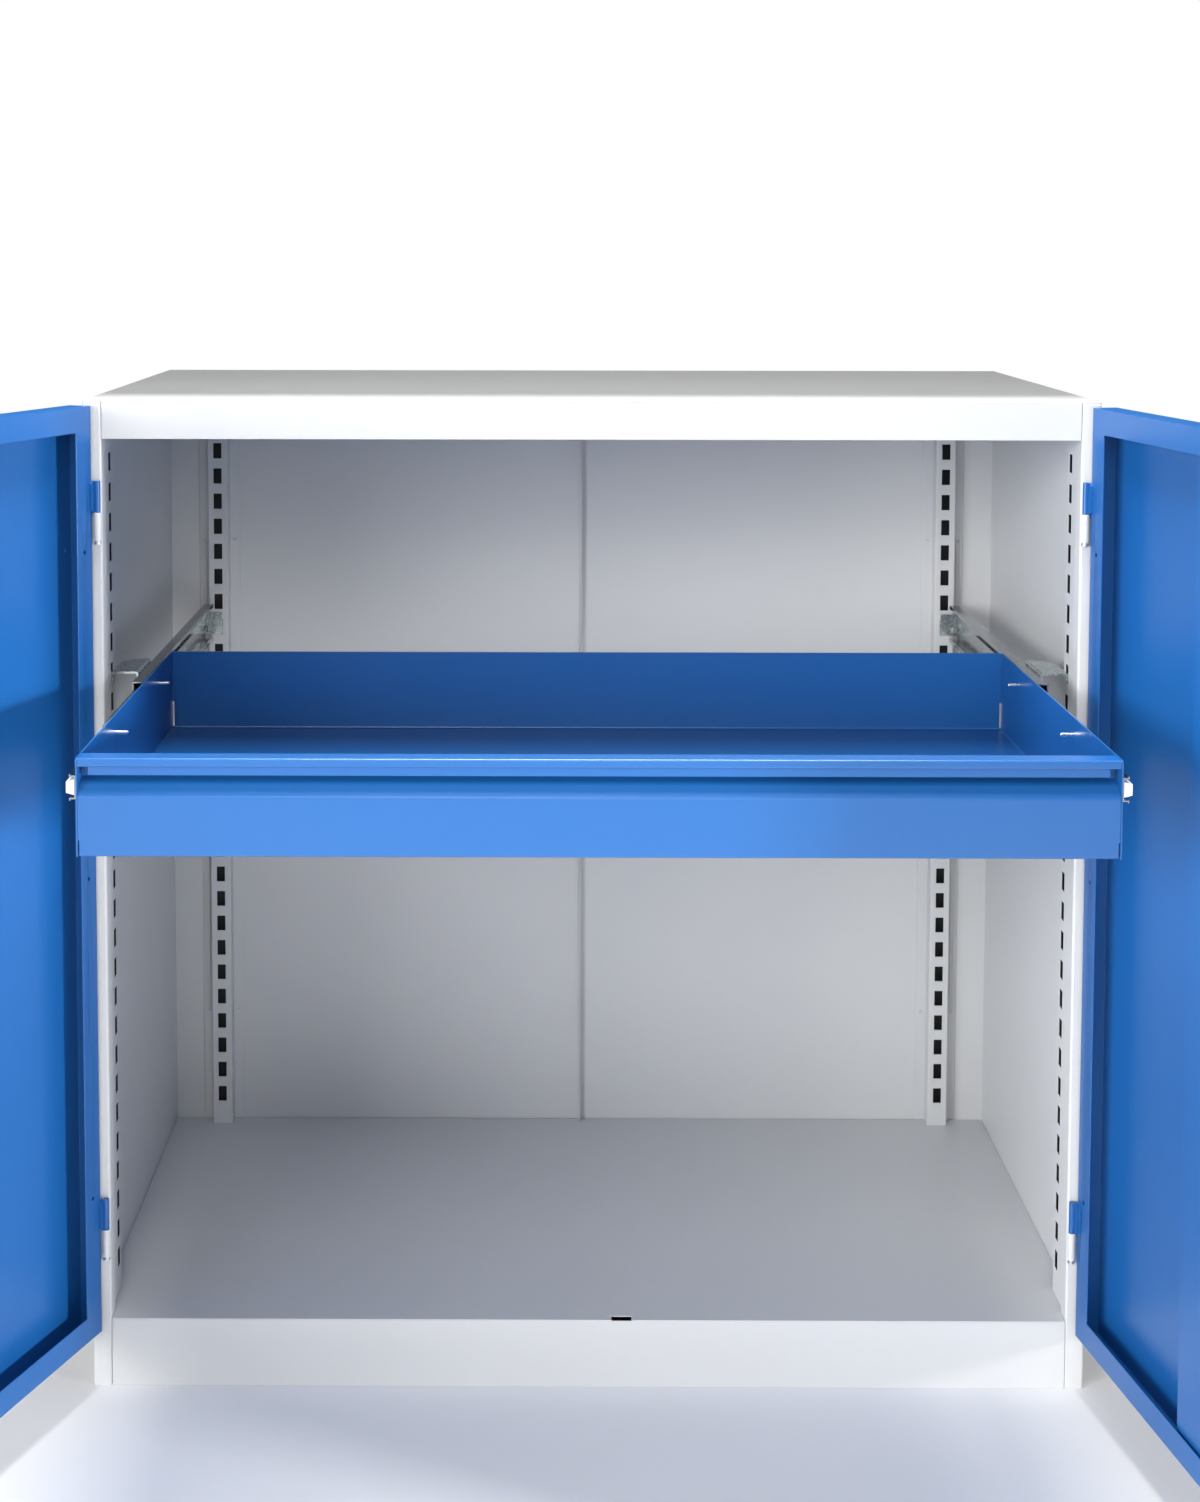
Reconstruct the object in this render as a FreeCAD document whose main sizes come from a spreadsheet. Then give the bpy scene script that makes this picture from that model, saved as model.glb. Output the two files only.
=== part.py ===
"""Tool cabinet: a sheet-steel carcass with two hinged doors and one drawer on telescopic ball slides.

Millimetres. +X is the cabinet's right, +Y goes from the doors to the back, +Z is up. The origin is on the
floor, in the middle of the carcass. The doors are built closed, about their hinge pins, and stand open;
the drawer is built closed and stands pulled out.
"""
import FreeCAD
import Part
import math
import os
import re
import Sketcher
from FreeCAD import Rotation, Vector

# Driving dimensions. Each one has its own cell in the sheet named Sizes.
SIZES = {
    # carcass
    "cabinet_width": 1000.0,
    "cabinet_height": 1000.0,
    "carcass_depth": 480.0,
    "carcass_sheet": 1.2,
    "back_sheet": 1.0,
    "front_flange_width": 19.0,
    "front_flange_return": 18.0,
    "rear_flange_width": 35.4,
    "seam_rib_depth": 10.0,
    "top_rim_depth": 20.0,
    "header_height": 36.8,
    "header_depth": 25.0,
    "plinth_height": 70.0,
    "plinth_sheet": 2.0,
    "plinth_flange_width": 60.0,
    "floor_rim_depth": 20.0,
    "fit_gap": 0.2,
    "overcut": 1.0,
    # anchor holes and levelling screws in the plinth
    "anchor_hole_radius": 5.5,
    "anchor_inset_x": 40.0,
    "anchor_inset_y": 40.0,
    "levelling_screw_radius": 5.0,
    "levelling_screw_length": 45.0,
    "levelling_head_height": 7.0,
    "levelling_inset_x": 40.0,
    "levelling_inset_y": 75.0,
    "levelling_nut_height": 8.0,
    "nut_radius": 9.8,
    # slotted posts
    "post_sheet": 1.5,
    "post_bend_radius": 1.6,
    "post_top_gap": 4.0,
    "front_post_setback": 28.0,
    "front_post_depth": 38.0,
    "front_post_projection": 14.6,
    "front_slot_setback": 52.5,
    "rear_post_inset": 60.2,
    "rear_crown_width": 24.1,
    "rear_crown_depth": 19.0,
    "rear_foot_width": 12.4,
    "slot_pitch": 30.6,
    "slot_width": 9.8,
    "slot_height": 18.6,
    "first_slot_height": 107.7,
    "slot_end_gap": 30.0,
    "foot_rivet_height": 207.1,
    "foot_rivet_radius": 2.4,
    "foot_rivet_crown": 1.5,
    "foot_rivet_head": 1.3,
    "foot_hole_radius": 1.7,
    # hinges
    "hinge_inset": 15.3,
    "knuckle_radius": 3.75,
    "knuckle_height": 27.7,
    "lug_radius": 3.0,
    "lug_height": 31.4,
    "lug_bore_depth": 27.0,
    "hinge_pin_rise": 25.0,
    "lug_leaf_thickness": 2.0,
    "lug_leaf_overlap": 3.5,
    "lug_leaf_chamfer": 3.0,
    "hinge_pin_radius": 1.9,
    "pin_bore_radius": 2.0,
    "pin_collar_radius": 3.5,
    "pin_collar_height": 2.2,
    "washer_radius": 3.1,
    "washer_height": 1.2,
    "hinge_top_gap": 110.3,
    # doors
    "door_sheet": 1.2,
    "door_depth": 25.0,
    "door_lip": 25.0,
    "door_bottom_height": 59.0,
    "door_top_gap": 5.0,
    "door_edge_gap": 3.0,
    "door_lip_gap": 4.5,
    "door_meeting_gap": 1.5,
    "left_door_angle": 112.0,
    "right_door_angle": 100.0,
    "door_hole_radius": 2.0,
    "door_hole_spacing": 325.0,
    "stiffener_width": 70.0,
    "stiffener_depth": 20.0,
    "stiffener_sheet": 1.0,
    "stiffener_foot": 14.0,
    "stiffener_end_gap": 2.0,
    "astragal_width": 32.0,
    "astragal_overlap": 14.0,
    "astragal_sheet": 1.5,
    # handle, lock and latch
    "handle_edge_distance": 45.0,
    "handle_plate_width": 42.0,
    "handle_plate_height": 160.0,
    "handle_plate_thickness": 8.0,
    "handle_hub_radius": 15.0,
    "handle_hub_height": 11.0,
    "lever_length": 105.0,
    "lever_width": 20.0,
    "lever_thickness": 11.0,
    "lever_end_width": 14.0,
    "lever_round": 3.0,
    "spindle_radius": 5.0,
    "spindle_play": 0.2,
    "lock_drop": 50.0,
    "lock_radius": 9.0,
    "lock_projection": 2.5,
    "lock_inner_reach": 3.0,
    "keyway_width": 1.6,
    "keyway_length": 9.0,
    "keyway_depth": 4.0,
    "lock_tongue_width": 12.0,
    "lock_tongue_length": 26.0,
    "lock_tongue_thickness": 2.5,
    "cam_radius": 24.0,
    "cam_thickness": 3.0,
    "crank_radius": 18.0,
    "crank_pin_radius": 3.0,
    "crank_pin_length": 4.5,
    "rod_width": 12.0,
    "rod_thickness": 3.0,
    "rod_clearance": 1.0,
    "rod_standoff": 5.0,
    "rod_header_gap": 1.0,
    "rod_joggle_height": 5.0,
    "rod_joggle_gap": 2.0,
    "rod_free_gap": 2.5,
    "yoke_width": 24.0,
    "yoke_height": 16.0,
    "yoke_rim": 3.5,
    "yoke_offset": 2.7,
    "yoke_play": 1.0,
    "guide_height": 16.0,
    "guide_wall": 2.0,
    "guide_foot": 1.5,
    "guide_setback": 60.0,
    "guide_edge_gap": 5.0,
    "strike_length": 20.0,
    "strike_width": 8.0,
    # drawer
    "drawer_side_gap": 58.0,
    "drawer_rear_gap": 23.0,
    "drawer_height": 84.6,
    "drawer_top_height": 720.5,
    "drawer_setback": 3.0,
    "drawer_out": 303.0,
    "drawer_sheet": 1.2,
    "drawer_bend_radius": 2.0,
    "drawer_side_round": 3.0,
    "front_lip_depth": 19.5,
    "front_lip_height": 7.8,
    "grip_hem_setback": 6.0,
    "grip_hem_height": 8.1,
    "grip_hem_end_gap": 8.0,
    "recess_wall_height": 11.7,
    "recess_knee_depth": 9.0,
    "recess_knee_height": 14.6,
    "recess_knee_radius": 8.0,
    "recess_height": 25.2,
    "recess_bend_radius": 4.0,
    "front_foot_depth": 12.0,
    "drawer_side_foot": 10.0,
    "back_slit_width": 1.4,
    "back_slit_height": 28.4,
    "front_slit_width": 1.2,
    "front_slit_height": 14.0,
    "side_hole_radius": 1.8,
    "side_hole_drop": 5.5,
    "side_hole_setback": 389.0,
    "stud_drop": 17.2,
    "stud_radius": 1.8,
    "stud_reach": 11.0,
    "stud_tip": 1.0,
    "stud_tip_radius": 1.1,
    "front_stud_setback": 163.0,
    "rear_stud_setback": 375.0,
    # telescopic slides
    "slide_drop": 25.2,
    "slide_rear_gap": 24.0,
    "slide_setback": 16.0,
    "slide_step": 6.0,
    "slide_thickness": 14.5,
    "inner_sheet": 1.2,
    "inner_half_height": 11.4,
    "inner_race_drop": 1.2,
    "inner_reach": 5.6,
    "inner_lip_end": 1.0,
    "middle_sheet": 1.2,
    "middle_reach": 11.0,
    "middle_start": 0.8,
    "outer_sheet": 1.5,
    "outer_lip": 4.5,
    "outer_start": 3.6,
    "ball_radius": 2.2,
    "inner_ball_play": 0.1,
    "outer_ball_play": 0.2,
    "inner_ball_offset": 2.5,
    "outer_ball_offset": 7.5,
    "ball_pitch": 19.0,
    "ball_count": 10,
    "cage_setback": 125.0,
    "cage_end": 9.0,
    "cage_sheet": 0.7,
    "cage_gap": 0.2,
    "inner_cage_wall": 8.8,
    "outer_cage_wall": 11.6,
    "cage_arm_reach": 1.8,
    "bumper_height": 13.7,
    "bumper_taper": 2.0,
    "bumper_reach": 8.4,
    "bumper_length": 14.0,
    # slide brackets
    "bracket_sheet": 2.0,
    "bracket_length": 66.0,
    "bracket_bend_radius": 3.0,
    "bracket_corner_radius": 24.0,
    "bracket_slot_steps": 2,
    "hook_width": 8.0,
    "hook_lap": 4.0,
    "front_rivet_setback": 20.0,
    "rear_rivet_setback": 50.0,
    "clip_length": 40.0,
    "clip_height": 26.0,
    "clip_rise": 17.0,
    "clip_window_width": 4.0,
    "clip_window_height": 7.0,
    "clip_window_margin": 3.0,
    "clip_tab_height": 11.0,
    "clip_tab_width": 4.0,
    "clip_edge_gap": 0.3,
    "bracket_rivet_radius": 2.5,
    "bracket_rivet_head": 0.5,
}

# Places worked out from the sizes. Left and right pieces use the same distances from the centre plane.
PLACES = {
    "half_width": "cabinet_width/2",
    "front_y": "-carcass_depth/2",
    "rear_y": "carcass_depth/2",
    "wall_x": "half_width - carcass_sheet",
    "flange_x": "half_width - front_flange_width",
    "back_y": "rear_y - back_sheet",
    "rear_flange_x": "half_width - rear_flange_width",
    "rear_flange_y": "back_y - carcass_sheet",
    "top_z": "cabinet_height - carcass_sheet",
    "rim_z": "top_z - top_rim_depth",
    "header_z": "top_z - header_height",
    "floor_z": "plinth_height - carcass_sheet",
    "between_x": "flange_x - fit_gap",
    "inside_x": "wall_x - fit_gap",
    "front_return_y": "front_y + front_flange_return + fit_gap",
    "inside_rear_y": "rear_flange_y - fit_gap",
    "anchor_x": "half_width - anchor_inset_x",
    "anchor_y": "rear_y - anchor_inset_y",
    "levelling_x": "half_width - levelling_inset_x",
    "levelling_y": "rear_y - levelling_inset_y",
    "rear_post_centre": "half_width - rear_post_inset",
    "rear_post_outer_x": "rear_post_centre + rear_crown_width/2",
    "rear_post_inner_x": "rear_post_centre - rear_crown_width/2",
    "rear_crown_y": "back_y - rear_crown_depth",
    "foot_y": "back_y - post_sheet",
    "front_post_x": "wall_x - front_post_projection",
    "front_post_y": "front_y + front_post_setback",
    "front_slot_y": "front_y + front_slot_setback",
    "post_length": "rim_z - post_top_gap - plinth_height",
    "slot_steps": "floor((rim_z - slot_end_gap - first_slot_height)/slot_pitch)",
    "slot_run": "slot_pitch*slot_steps",
    # hinge axis and door, in the door's own frame: x from the pin towards the free edge, y to the back
    "hinge_x": "half_width - hinge_inset",
    "hinge_y": "front_y - knuckle_radius",
    "door_top_z": "cabinet_height - door_top_gap",
    "door_middle_z": "(door_bottom_height + door_top_z)/2",
    "door_free_x": "hinge_x - door_meeting_gap",
    "door_lip_y": "-door_lip_gap",
    "door_skin_y": "-door_lip_gap - door_depth",
    "hinge_height": "cabinet_height - hinge_top_gap",
    "lower_hinge_z": "2*door_middle_z - hinge_height",
    "stiffener_x": "(door_edge_gap + door_free_x)/2",
    "handle_x": "door_free_x - handle_edge_distance",
    "plate_y": "door_skin_y - handle_plate_thickness",
    "hub_y": "plate_y - handle_hub_height",
    "rod_y": "door_lip_y + rod_standoff",
    "rod_tip_y": "knuckle_radius + post_sheet + rod_header_gap",
    "rod_end_y": "rod_y + rod_thickness",
    "crank_y": "rod_y - rod_clearance",
    "cam_y": "crank_y - cam_thickness",
    "crank_offset": "crank_radius*cos(45)",
    "rod_stroke": "2*crank_offset",
    "lock_z": "door_middle_z - lock_drop",
    "lock_y": "plate_y - lock_projection",
    # drawer, closed
    "drawer_x": "half_width - drawer_side_gap",
    "drawer_inner_x": "drawer_x - drawer_sheet",
    "drawer_y": "front_y + drawer_setback",
    "drawer_rear_y": "rear_y - drawer_rear_gap",
    "drawer_z": "drawer_top_height - drawer_height",
    "drawer_floor_z": "drawer_z + 2*drawer_sheet",
    "stud_z": "drawer_top_height - stud_drop",
    # slides: u from the drawer's side outwards, z of the middle line
    "slide_z": "drawer_top_height - slide_drop",
    "slide_y": "front_y + slide_setback",
    "slide_length": "rear_y - slide_rear_gap - slide_y",
    "middle_y": "front_y + slide_setback - slide_step",
    "inner_y": "front_y + slide_setback - 2*slide_step",
    "slide_x": "drawer_x + slide_thickness",
    "race_v": "inner_half_height - inner_race_drop",
    "middle_under_v": "race_v + 2*ball_radius + inner_ball_play",
    "middle_over_v": "middle_under_v + middle_sheet",
    "outer_under_v": "middle_over_v + 2*ball_radius + outer_ball_play",
    "outer_v": "outer_under_v + outer_sheet",
    "inner_ball_v": "(race_v + middle_under_v)/2",
    "outer_ball_v": "(middle_over_v + outer_under_v)/2",
    "cage_length": "ball_pitch*(ball_count - 1) + 2*cage_end",
    # brackets
    "hook_slot_step": "round((drawer_top_height - first_slot_height)/slot_pitch)",
    "hook_slot_z": "first_slot_height + slot_pitch*hook_slot_step",
    "bracket_top_z": "hook_slot_z + bracket_sheet/2",
    "bracket_bottom_z": "bracket_top_z - bracket_slot_steps*slot_pitch",
    "bracket_y": "front_slot_y - hook_width/2",
    "clip_y": "rear_crown_y - clip_edge_gap - bracket_sheet",
    "clip_top_z": "hook_slot_z - slot_pitch + clip_rise",
}

SIDES = ("left", "right")

# two points closer than this, in millimetres, are one point
TOUCH = 1e-6

doc = FreeCAD.newDocument("ToolCabinet")
sheet = doc.addObject("Spreadsheet::Sheet", "Sizes")
for row, (alias, size) in enumerate(SIZES.items(), start=1):
    sheet.set(f"A{row}", alias)
    sheet.set(f"B{row}", str(size))
    sheet.setAlias(f"B{row}", alias)
doc.recompute()


def cells(text):
    """The expression with every size as its cell and every place written out."""
    def written(match):
        word = match.group(0)
        if word in PLACES:
            return f"({cells(PLACES[word])})"
        return f"Sizes.{word}" if word in SIZES else word
    return re.sub(r"[a-z_]+", written, str(text))


def bind(thing, **expressions):
    """Bind properties to expressions; a double underscore stands for a dot in the property's path."""
    for path, text in expressions.items():
        thing.setExpression(path.replace("__", "."), cells(text))
    return thing


def across(side, near, far):
    """A span along X from near to far, measured outwards from the centre plane on one side."""
    return (near, far) if side == "right" else (f"-({far})", f"-({near})")


def signed(side, distance):
    return distance if side == "right" else f"-({distance})"


def box(x, y, z, name="Block"):
    """A block between the low and high ends given along each axis."""
    block = doc.addObject("Part::Box", name)
    return bind(block, Length=f"({x[1]}) - ({x[0]})", Width=f"({y[1]}) - ({y[0]})",
                Height=f"({z[1]}) - ({z[0]})", Placement__Base__x=x[0],
                Placement__Base__y=y[0], Placement__Base__z=z[0])


TURNS = {
    "X": Rotation(Vector(0, 1, 0), 90),
    "Y": Rotation(Vector(1, 0, 0), -90),
    "Z": Rotation(),
}


def rod(axis, start, radius, length, name="Round", tip=None):
    """A cylinder, or a cone where tip gives the far end's radius, from start along +axis."""
    kind = "Part::Cone" if tip else "Part::Cylinder"
    round_bar = doc.addObject(kind, name)
    round_bar.Placement = FreeCAD.Placement(Vector(), TURNS[axis])
    if tip:
        bind(round_bar, Radius1=radius, Radius2=tip)
    else:
        bind(round_bar, Radius=radius)
    return bind(round_bar, Height=length, Placement__Base__x=start[0],
                Placement__Base__y=start[1], Placement__Base__z=start[2])


def fuse(parts, name="Fused"):
    joined = doc.addObject("Part::MultiFuse", name)
    joined.Shapes = parts
    return joined


def cut(base, tools, name="Cut"):
    removed = doc.addObject("Part::Cut", name)
    removed.Base = base
    removed.Tool = tools[0] if len(tools) == 1 else fuse(tools, "Tools")
    return removed


def group(parts, name="Group"):
    gathered = doc.addObject("Part::Compound", name)
    gathered.Links = parts
    return gathered


def origin_plane(body, role):
    return next(plane for plane in body.Origin.OriginFeatures if plane.Role == role)


def new_sketch(body, role, offset):
    sketch = body.newObject("Sketcher::SketchObject", "Outline")
    sketch.AttachmentSupport = [(origin_plane(body, role), "")]
    sketch.MapMode = "FlatFace"
    return bind(sketch, AttachmentOffset__Base__z=offset)


def fix_point(sketch, line, place, point, at):
    """Hold a sketch point at two expressions measured from the sketch's origin."""
    for kind, start, text in (("DistanceX", point.x, at[0]), ("DistanceY", point.y, at[1])):
        index = sketch.addConstraint(Sketcher.Constraint(kind, -1, 1, line, place, start))
        sketch.setExpression(f"Constraints[{index}]", cells(text))


def outline(body, role, corners, offset="0"):
    """A closed outline of straight lines, each corner held by a pair of expressions."""
    sketch = new_sketch(body, role, offset)
    count = len(corners)
    turn = 2 * math.pi / count
    ring = [Vector(math.cos(turn * step), math.sin(turn * step), 0) for step in range(count)]
    for step in range(count):
        sketch.addGeometry(Part.LineSegment(ring[step], ring[(step + 1) % count]), False)
    for step in range(count):
        sketch.addConstraint(Sketcher.Constraint("Coincident", step, 2, (step + 1) % count, 1))
    for step, corner in enumerate(corners):
        fix_point(sketch, step, 1, ring[step], corner)
    return sketch


def circles(body, role, centres, radius, offset="0"):
    """Circles of one radius at the given centres."""
    sketch = new_sketch(body, role, offset)
    for step, centre in enumerate(centres):
        at = Vector(step + 1, 1, 0)
        sketch.addGeometry(Part.Circle(at, Vector(0, 0, 1), 0.5), False)
        fix_point(sketch, step, 3, at, centre)
        index = sketch.addConstraint(Sketcher.Constraint("Radius", step, 0.5))
        sketch.setExpression(f"Constraints[{index}]", cells(radius))
    return sketch


def extrusion(name, role, corners, start, length):
    """A PartDesign body: the outline on one of its origin planes, padded from start by length."""
    body = doc.addObject("PartDesign::Body", name)
    sketch = outline(body, role, corners, start)
    pad = body.newObject("PartDesign::Pad", "Pad")
    pad.Profile = (sketch, [""])
    bind(pad, Length=length)
    return body, sketch, pad


def pocket_through(body, sketch):
    doc.recompute()
    before = body.Shape.Volume
    pocket = body.newObject("PartDesign::Pocket", "Pocket")
    pocket.Profile = (sketch, [""])
    pocket.Type = "ThroughAll"
    pocket.Midplane = True
    doc.recompute()
    if pocket.Shape.Volume >= before:
        raise ValueError(f"{body.Name}: a pocket removes nothing")
    return pocket


def edges_at(feature, sketch, corners):
    """Names of the padded edges that stand on the given corners of the sketch."""
    normal = sketch.Placement.Rotation.multVec(Vector(0, 0, 1))
    feet = [sketch.Placement.multVec(sketch.Geometry[corner].StartPoint) for corner in corners]
    return edges_along(feature, normal, feet)


def edges_along(feature, axis, feet):
    """Names of the straight edges along the axis that pass through one of the given points."""
    found = []
    for number, edge in enumerate(feature.Shape.Edges, start=1):
        ends = [vertex.Point for vertex in edge.Vertexes]
        straight = len(ends) == 2
        if straight and any(all((end - foot).cross(axis).Length < TOUCH for end in ends) for foot in feet):
            found.append(f"Edge{number}")
    return found


def round_corners(body, feature, sketch, corners, radius):
    """Fillet the padded edges over the given corners of the sketch."""
    doc.recompute()
    fillet = body.newObject("PartDesign::Fillet", "Bend")
    fillet.Base = (feature, edges_at(feature, sketch, corners))
    bind(fillet, Radius=radius)
    return fillet


finished = {}


def finish(name, thing, **placement):
    """Give a sub-part its label and its place; a lone block is grouped first, as its place is its own."""
    thing.Label = name
    bind(thing, **placement)
    finished[name] = thing
    return thing


def finish_body(name, body, tip):
    body.Tip = tip
    return finish(name, body)


# Carcass

def side_panel(side):
    """Side wall with a front flange that is returned to the back, and a rear flange."""
    def point(distance, depth):
        return signed(side, distance), depth
    corners = [
        point("half_width", "front_y"),
        point("half_width", "back_y"),
        point("rear_flange_x", "back_y"),
        point("rear_flange_x", "rear_flange_y"),
        point("wall_x", "rear_flange_y"),
        point("wall_x", "front_y + carcass_sheet"),
        point("flange_x + carcass_sheet", "front_y + carcass_sheet"),
        point("flange_x + carcass_sheet", "front_y + front_flange_return"),
        point("flange_x", "front_y + front_flange_return"),
        point("flange_x", "front_y"),
    ]
    body, sketch, pad = extrusion("SidePanel", "XY_Plane", corners, "0", "top_z")
    bend = round_corners(body, pad, sketch, [0, 9], "2*carcass_sheet")
    finish_body(f"{side}_side_panel", body, bend)


def back_panel(side):
    """Half of the back, with a rib turned forward at the centre seam."""
    sheet_metal = box(across(side, "fit_gap/4", "wall_x"), ("back_y", "rear_y"), ("0", "top_z"))
    rib = box(across(side, "fit_gap/4", "fit_gap/4 + back_sheet"), ("back_y - seam_rib_depth", "rear_y"),
              ("plinth_height", "rim_z - fit_gap"))
    finish(f"{side}_back_panel", fuse([sheet_metal, rib]))


def top_cover():
    """Top plate over the side panels, with rims turned down inside them."""
    plate = box(("-half_width", "half_width"), ("front_y", "rear_y"), ("top_z", "cabinet_height"))
    rims = [box(across(side, "inside_x - carcass_sheet", "inside_x"),
                ("front_return_y", "inside_rear_y"), ("rim_z", "cabinet_height"))
            for side in SIDES]
    rear = box(("-rear_flange_x + fit_gap", "rear_flange_x - fit_gap"),
               ("rear_flange_y", "back_y"), ("rim_z", "cabinet_height"))
    finish("top_cover", fuse([plate, *rims, rear]))


def top_front_rail():
    """Angle under the front of the top, which the upper latch rod catches behind."""
    face = box(("-between_x", "between_x"), ("front_y", "front_y + post_sheet"), ("header_z", "top_z"))
    shelf = box(("-between_x", "between_x"), ("front_y", "front_y + header_depth"),
                ("top_z - post_sheet", "top_z"))
    finish("top_front_rail", fuse([face, shelf]))


def floor_pan():
    """Bottom of the cupboard, with rims turned down and a slot for the lower latch rod."""
    middle = box(("-between_x", "between_x"), ("front_y", "inside_rear_y"), ("floor_z", "plinth_height"))
    wings = [box(across(side, "between_x - carcass_sheet", "inside_x"), ("front_return_y", "inside_rear_y"),
                 ("floor_z", "plinth_height")) for side in SIDES]
    rims = [box(across(side, "inside_x - carcass_sheet", "inside_x"), ("front_return_y", "inside_rear_y"),
                ("floor_z - floor_rim_depth", "plinth_height")) for side in SIDES]
    plate = fuse([middle, *wings, *rims])
    strike_x = "hinge_x - handle_x - crank_offset"
    strike_y = "hinge_y + rod_tip_y + rod_thickness/2"
    strike = box((f"{strike_x} - strike_length/2", f"{strike_x} + strike_length/2"),
                 (f"{strike_y} - strike_width/2", f"{strike_y} + strike_width/2"),
                 ("floor_z - overcut", "plinth_height + overcut"))
    finish("floor_pan", cut(plate, [strike]))


def plinth():
    """Front and rear base plates on a flange that rests on the floor and takes the anchors."""
    front = box(("-between_x", "between_x"), ("front_y", "front_y + plinth_sheet"), ("0", "floor_z"))
    rear = box(("-rear_flange_x", "rear_flange_x"), ("inside_rear_y - plinth_sheet", "inside_rear_y"),
               ("0", "floor_z"))
    flanges = [
        box(("-between_x", "between_x"), ("front_y", "front_y + plinth_flange_width"),
            ("0", "plinth_sheet")),
        box(("-inside_x", "inside_x"), ("inside_rear_y - plinth_flange_width", "inside_rear_y"),
            ("0", "plinth_sheet")),
    ]
    flanges += [box(across(side, "inside_x - plinth_flange_width", "inside_x"),
                    ("front_return_y", "inside_rear_y"), ("0", "plinth_sheet")) for side in SIDES]
    bore = "plinth_sheet + 2*overcut"
    holes = [rod("Z", (f"{along}*anchor_x", f"{deep}*anchor_y", "-overcut"),
                 "anchor_hole_radius", bore) for along in (-1, 1) for deep in (-1, 1)]
    holes += [rod("Z", (f"{along}*levelling_x", f"{deep}*levelling_y", "-overcut"),
                  "levelling_screw_radius + fit_gap", bore) for along in (-1, 1) for deep in (-1, 1)]
    finish("plinth", cut(fuse([front, rear, *flanges]), holes))


def hexagon(axis_place, low, height, bore):
    """A hexagonal nut or screw head standing on low."""
    prism = doc.addObject("Part::Prism", "Hexagon")
    prism.Polygon = 6
    bind(prism, Circumradius="nut_radius", Height=height, Placement__Base__x=axis_place[0],
         Placement__Base__y=axis_place[1], Placement__Base__z=low)
    if not bore:
        return prism
    return cut(prism, [rod("Z", (*axis_place, f"{low} - overcut"), bore, f"{height} + 2*overcut")])


def levelling_screws():
    """Screws in the plinth's corners, reached from above, and the nuts they turn in."""
    screws = []
    nuts = []
    for along in (-1, 1):
        for deep in (-1, 1):
            place = (f"{along}*levelling_x", f"{deep}*levelling_y")
            shank = rod("Z", (*place, "0"), "levelling_screw_radius", "levelling_screw_length")
            head = hexagon(place, "levelling_screw_length", "levelling_head_height", None)
            screws.append(fuse([shank, head]))
            nuts.append(hexagon(place, "plinth_sheet", "levelling_nut_height",
                                "levelling_screw_radius + fit_gap/2"))
    finish("levelling_screws", group(screws))
    finish("levelling_nuts", group(nuts))


# Slotted posts

def slot_row(body, role, centre):
    """The row of rectangular slots that the slide brackets hook into."""
    low = ("first_slot_height - slot_height/2", "first_slot_height + slot_height/2")
    ends = (f"{centre} - slot_width/2", f"{centre} + slot_width/2")
    slot = outline(body, role, [(ends[0], low[0]), (ends[1], low[0]), (ends[1], low[1]), (ends[0], low[1])])
    first = pocket_through(body, slot)
    pattern = body.newObject("PartDesign::LinearPattern", "Slots")
    pattern.Originals = [first]
    pattern.Direction = (slot, ["V_Axis"])
    bind(pattern, Occurrences="slot_steps + 1", Length="slot_run")
    body.Tip = pattern
    return pattern


def front_post(side):
    """C-shaped post on the side wall; its slotted web faces the middle of the cabinet."""
    def point(distance, depth):
        return signed(side, distance), f"front_post_y + {depth}"
    corners = [
        point("wall_x", "0"),
        point("front_post_x", "0"),
        point("front_post_x", "front_post_depth"),
        point("wall_x", "front_post_depth"),
        point("wall_x", "front_post_depth - post_sheet"),
        point("front_post_x + post_sheet", "front_post_depth - post_sheet"),
        point("front_post_x + post_sheet", "post_sheet"),
        point("wall_x", "post_sheet"),
    ]
    body, sketch, pad = extrusion("FrontPost", "XY_Plane", corners, "plinth_height", "post_length")
    round_corners(body, pad, sketch, [1, 2], "post_bend_radius")
    slots = slot_row(body, "YZ_Plane", "front_slot_y")
    finish_body(f"front_{side}_post", body, slots)


def rear_post(side):
    """Hat-shaped post on the back; its slotted crown faces the doors."""
    def point(distance, depth):
        return signed(side, distance), depth
    corners = [
        point("rear_post_outer_x + rear_foot_width", "back_y"),
        point("rear_post_outer_x + rear_foot_width", "foot_y"),
        point("rear_post_outer_x", "foot_y"),
        point("rear_post_outer_x", "rear_crown_y"),
        point("rear_post_inner_x", "rear_crown_y"),
        point("rear_post_inner_x", "foot_y"),
        point("rear_post_inner_x - rear_foot_width", "foot_y"),
        point("rear_post_inner_x - rear_foot_width", "back_y"),
        point("rear_post_inner_x + post_sheet", "back_y"),
        point("rear_post_inner_x + post_sheet", "rear_crown_y + post_sheet"),
        point("rear_post_outer_x - post_sheet", "rear_crown_y + post_sheet"),
        point("rear_post_outer_x - post_sheet", "back_y"),
    ]
    body, sketch, pad = extrusion("RearPost", "XY_Plane", corners, "plinth_height", "post_length")
    round_corners(body, pad, sketch, [3, 4], "post_bend_radius")
    foot_x = signed(side, "rear_post_outer_x + rear_foot_width/2")
    # on the XZ plane a sketch's second axis is +Z and its first is +X
    holes = circles(body, "XZ_Plane", [(foot_x, height) for height in rivet_heights()], "foot_hole_radius")
    pocket_through(body, holes)
    slots = slot_row(body, "XZ_Plane", signed(side, "rear_post_centre"))
    finish_body(f"rear_{side}_post", body, slots)


def rivet_heights():
    return "foot_rivet_height", "cabinet_height - foot_rivet_height"


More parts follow.
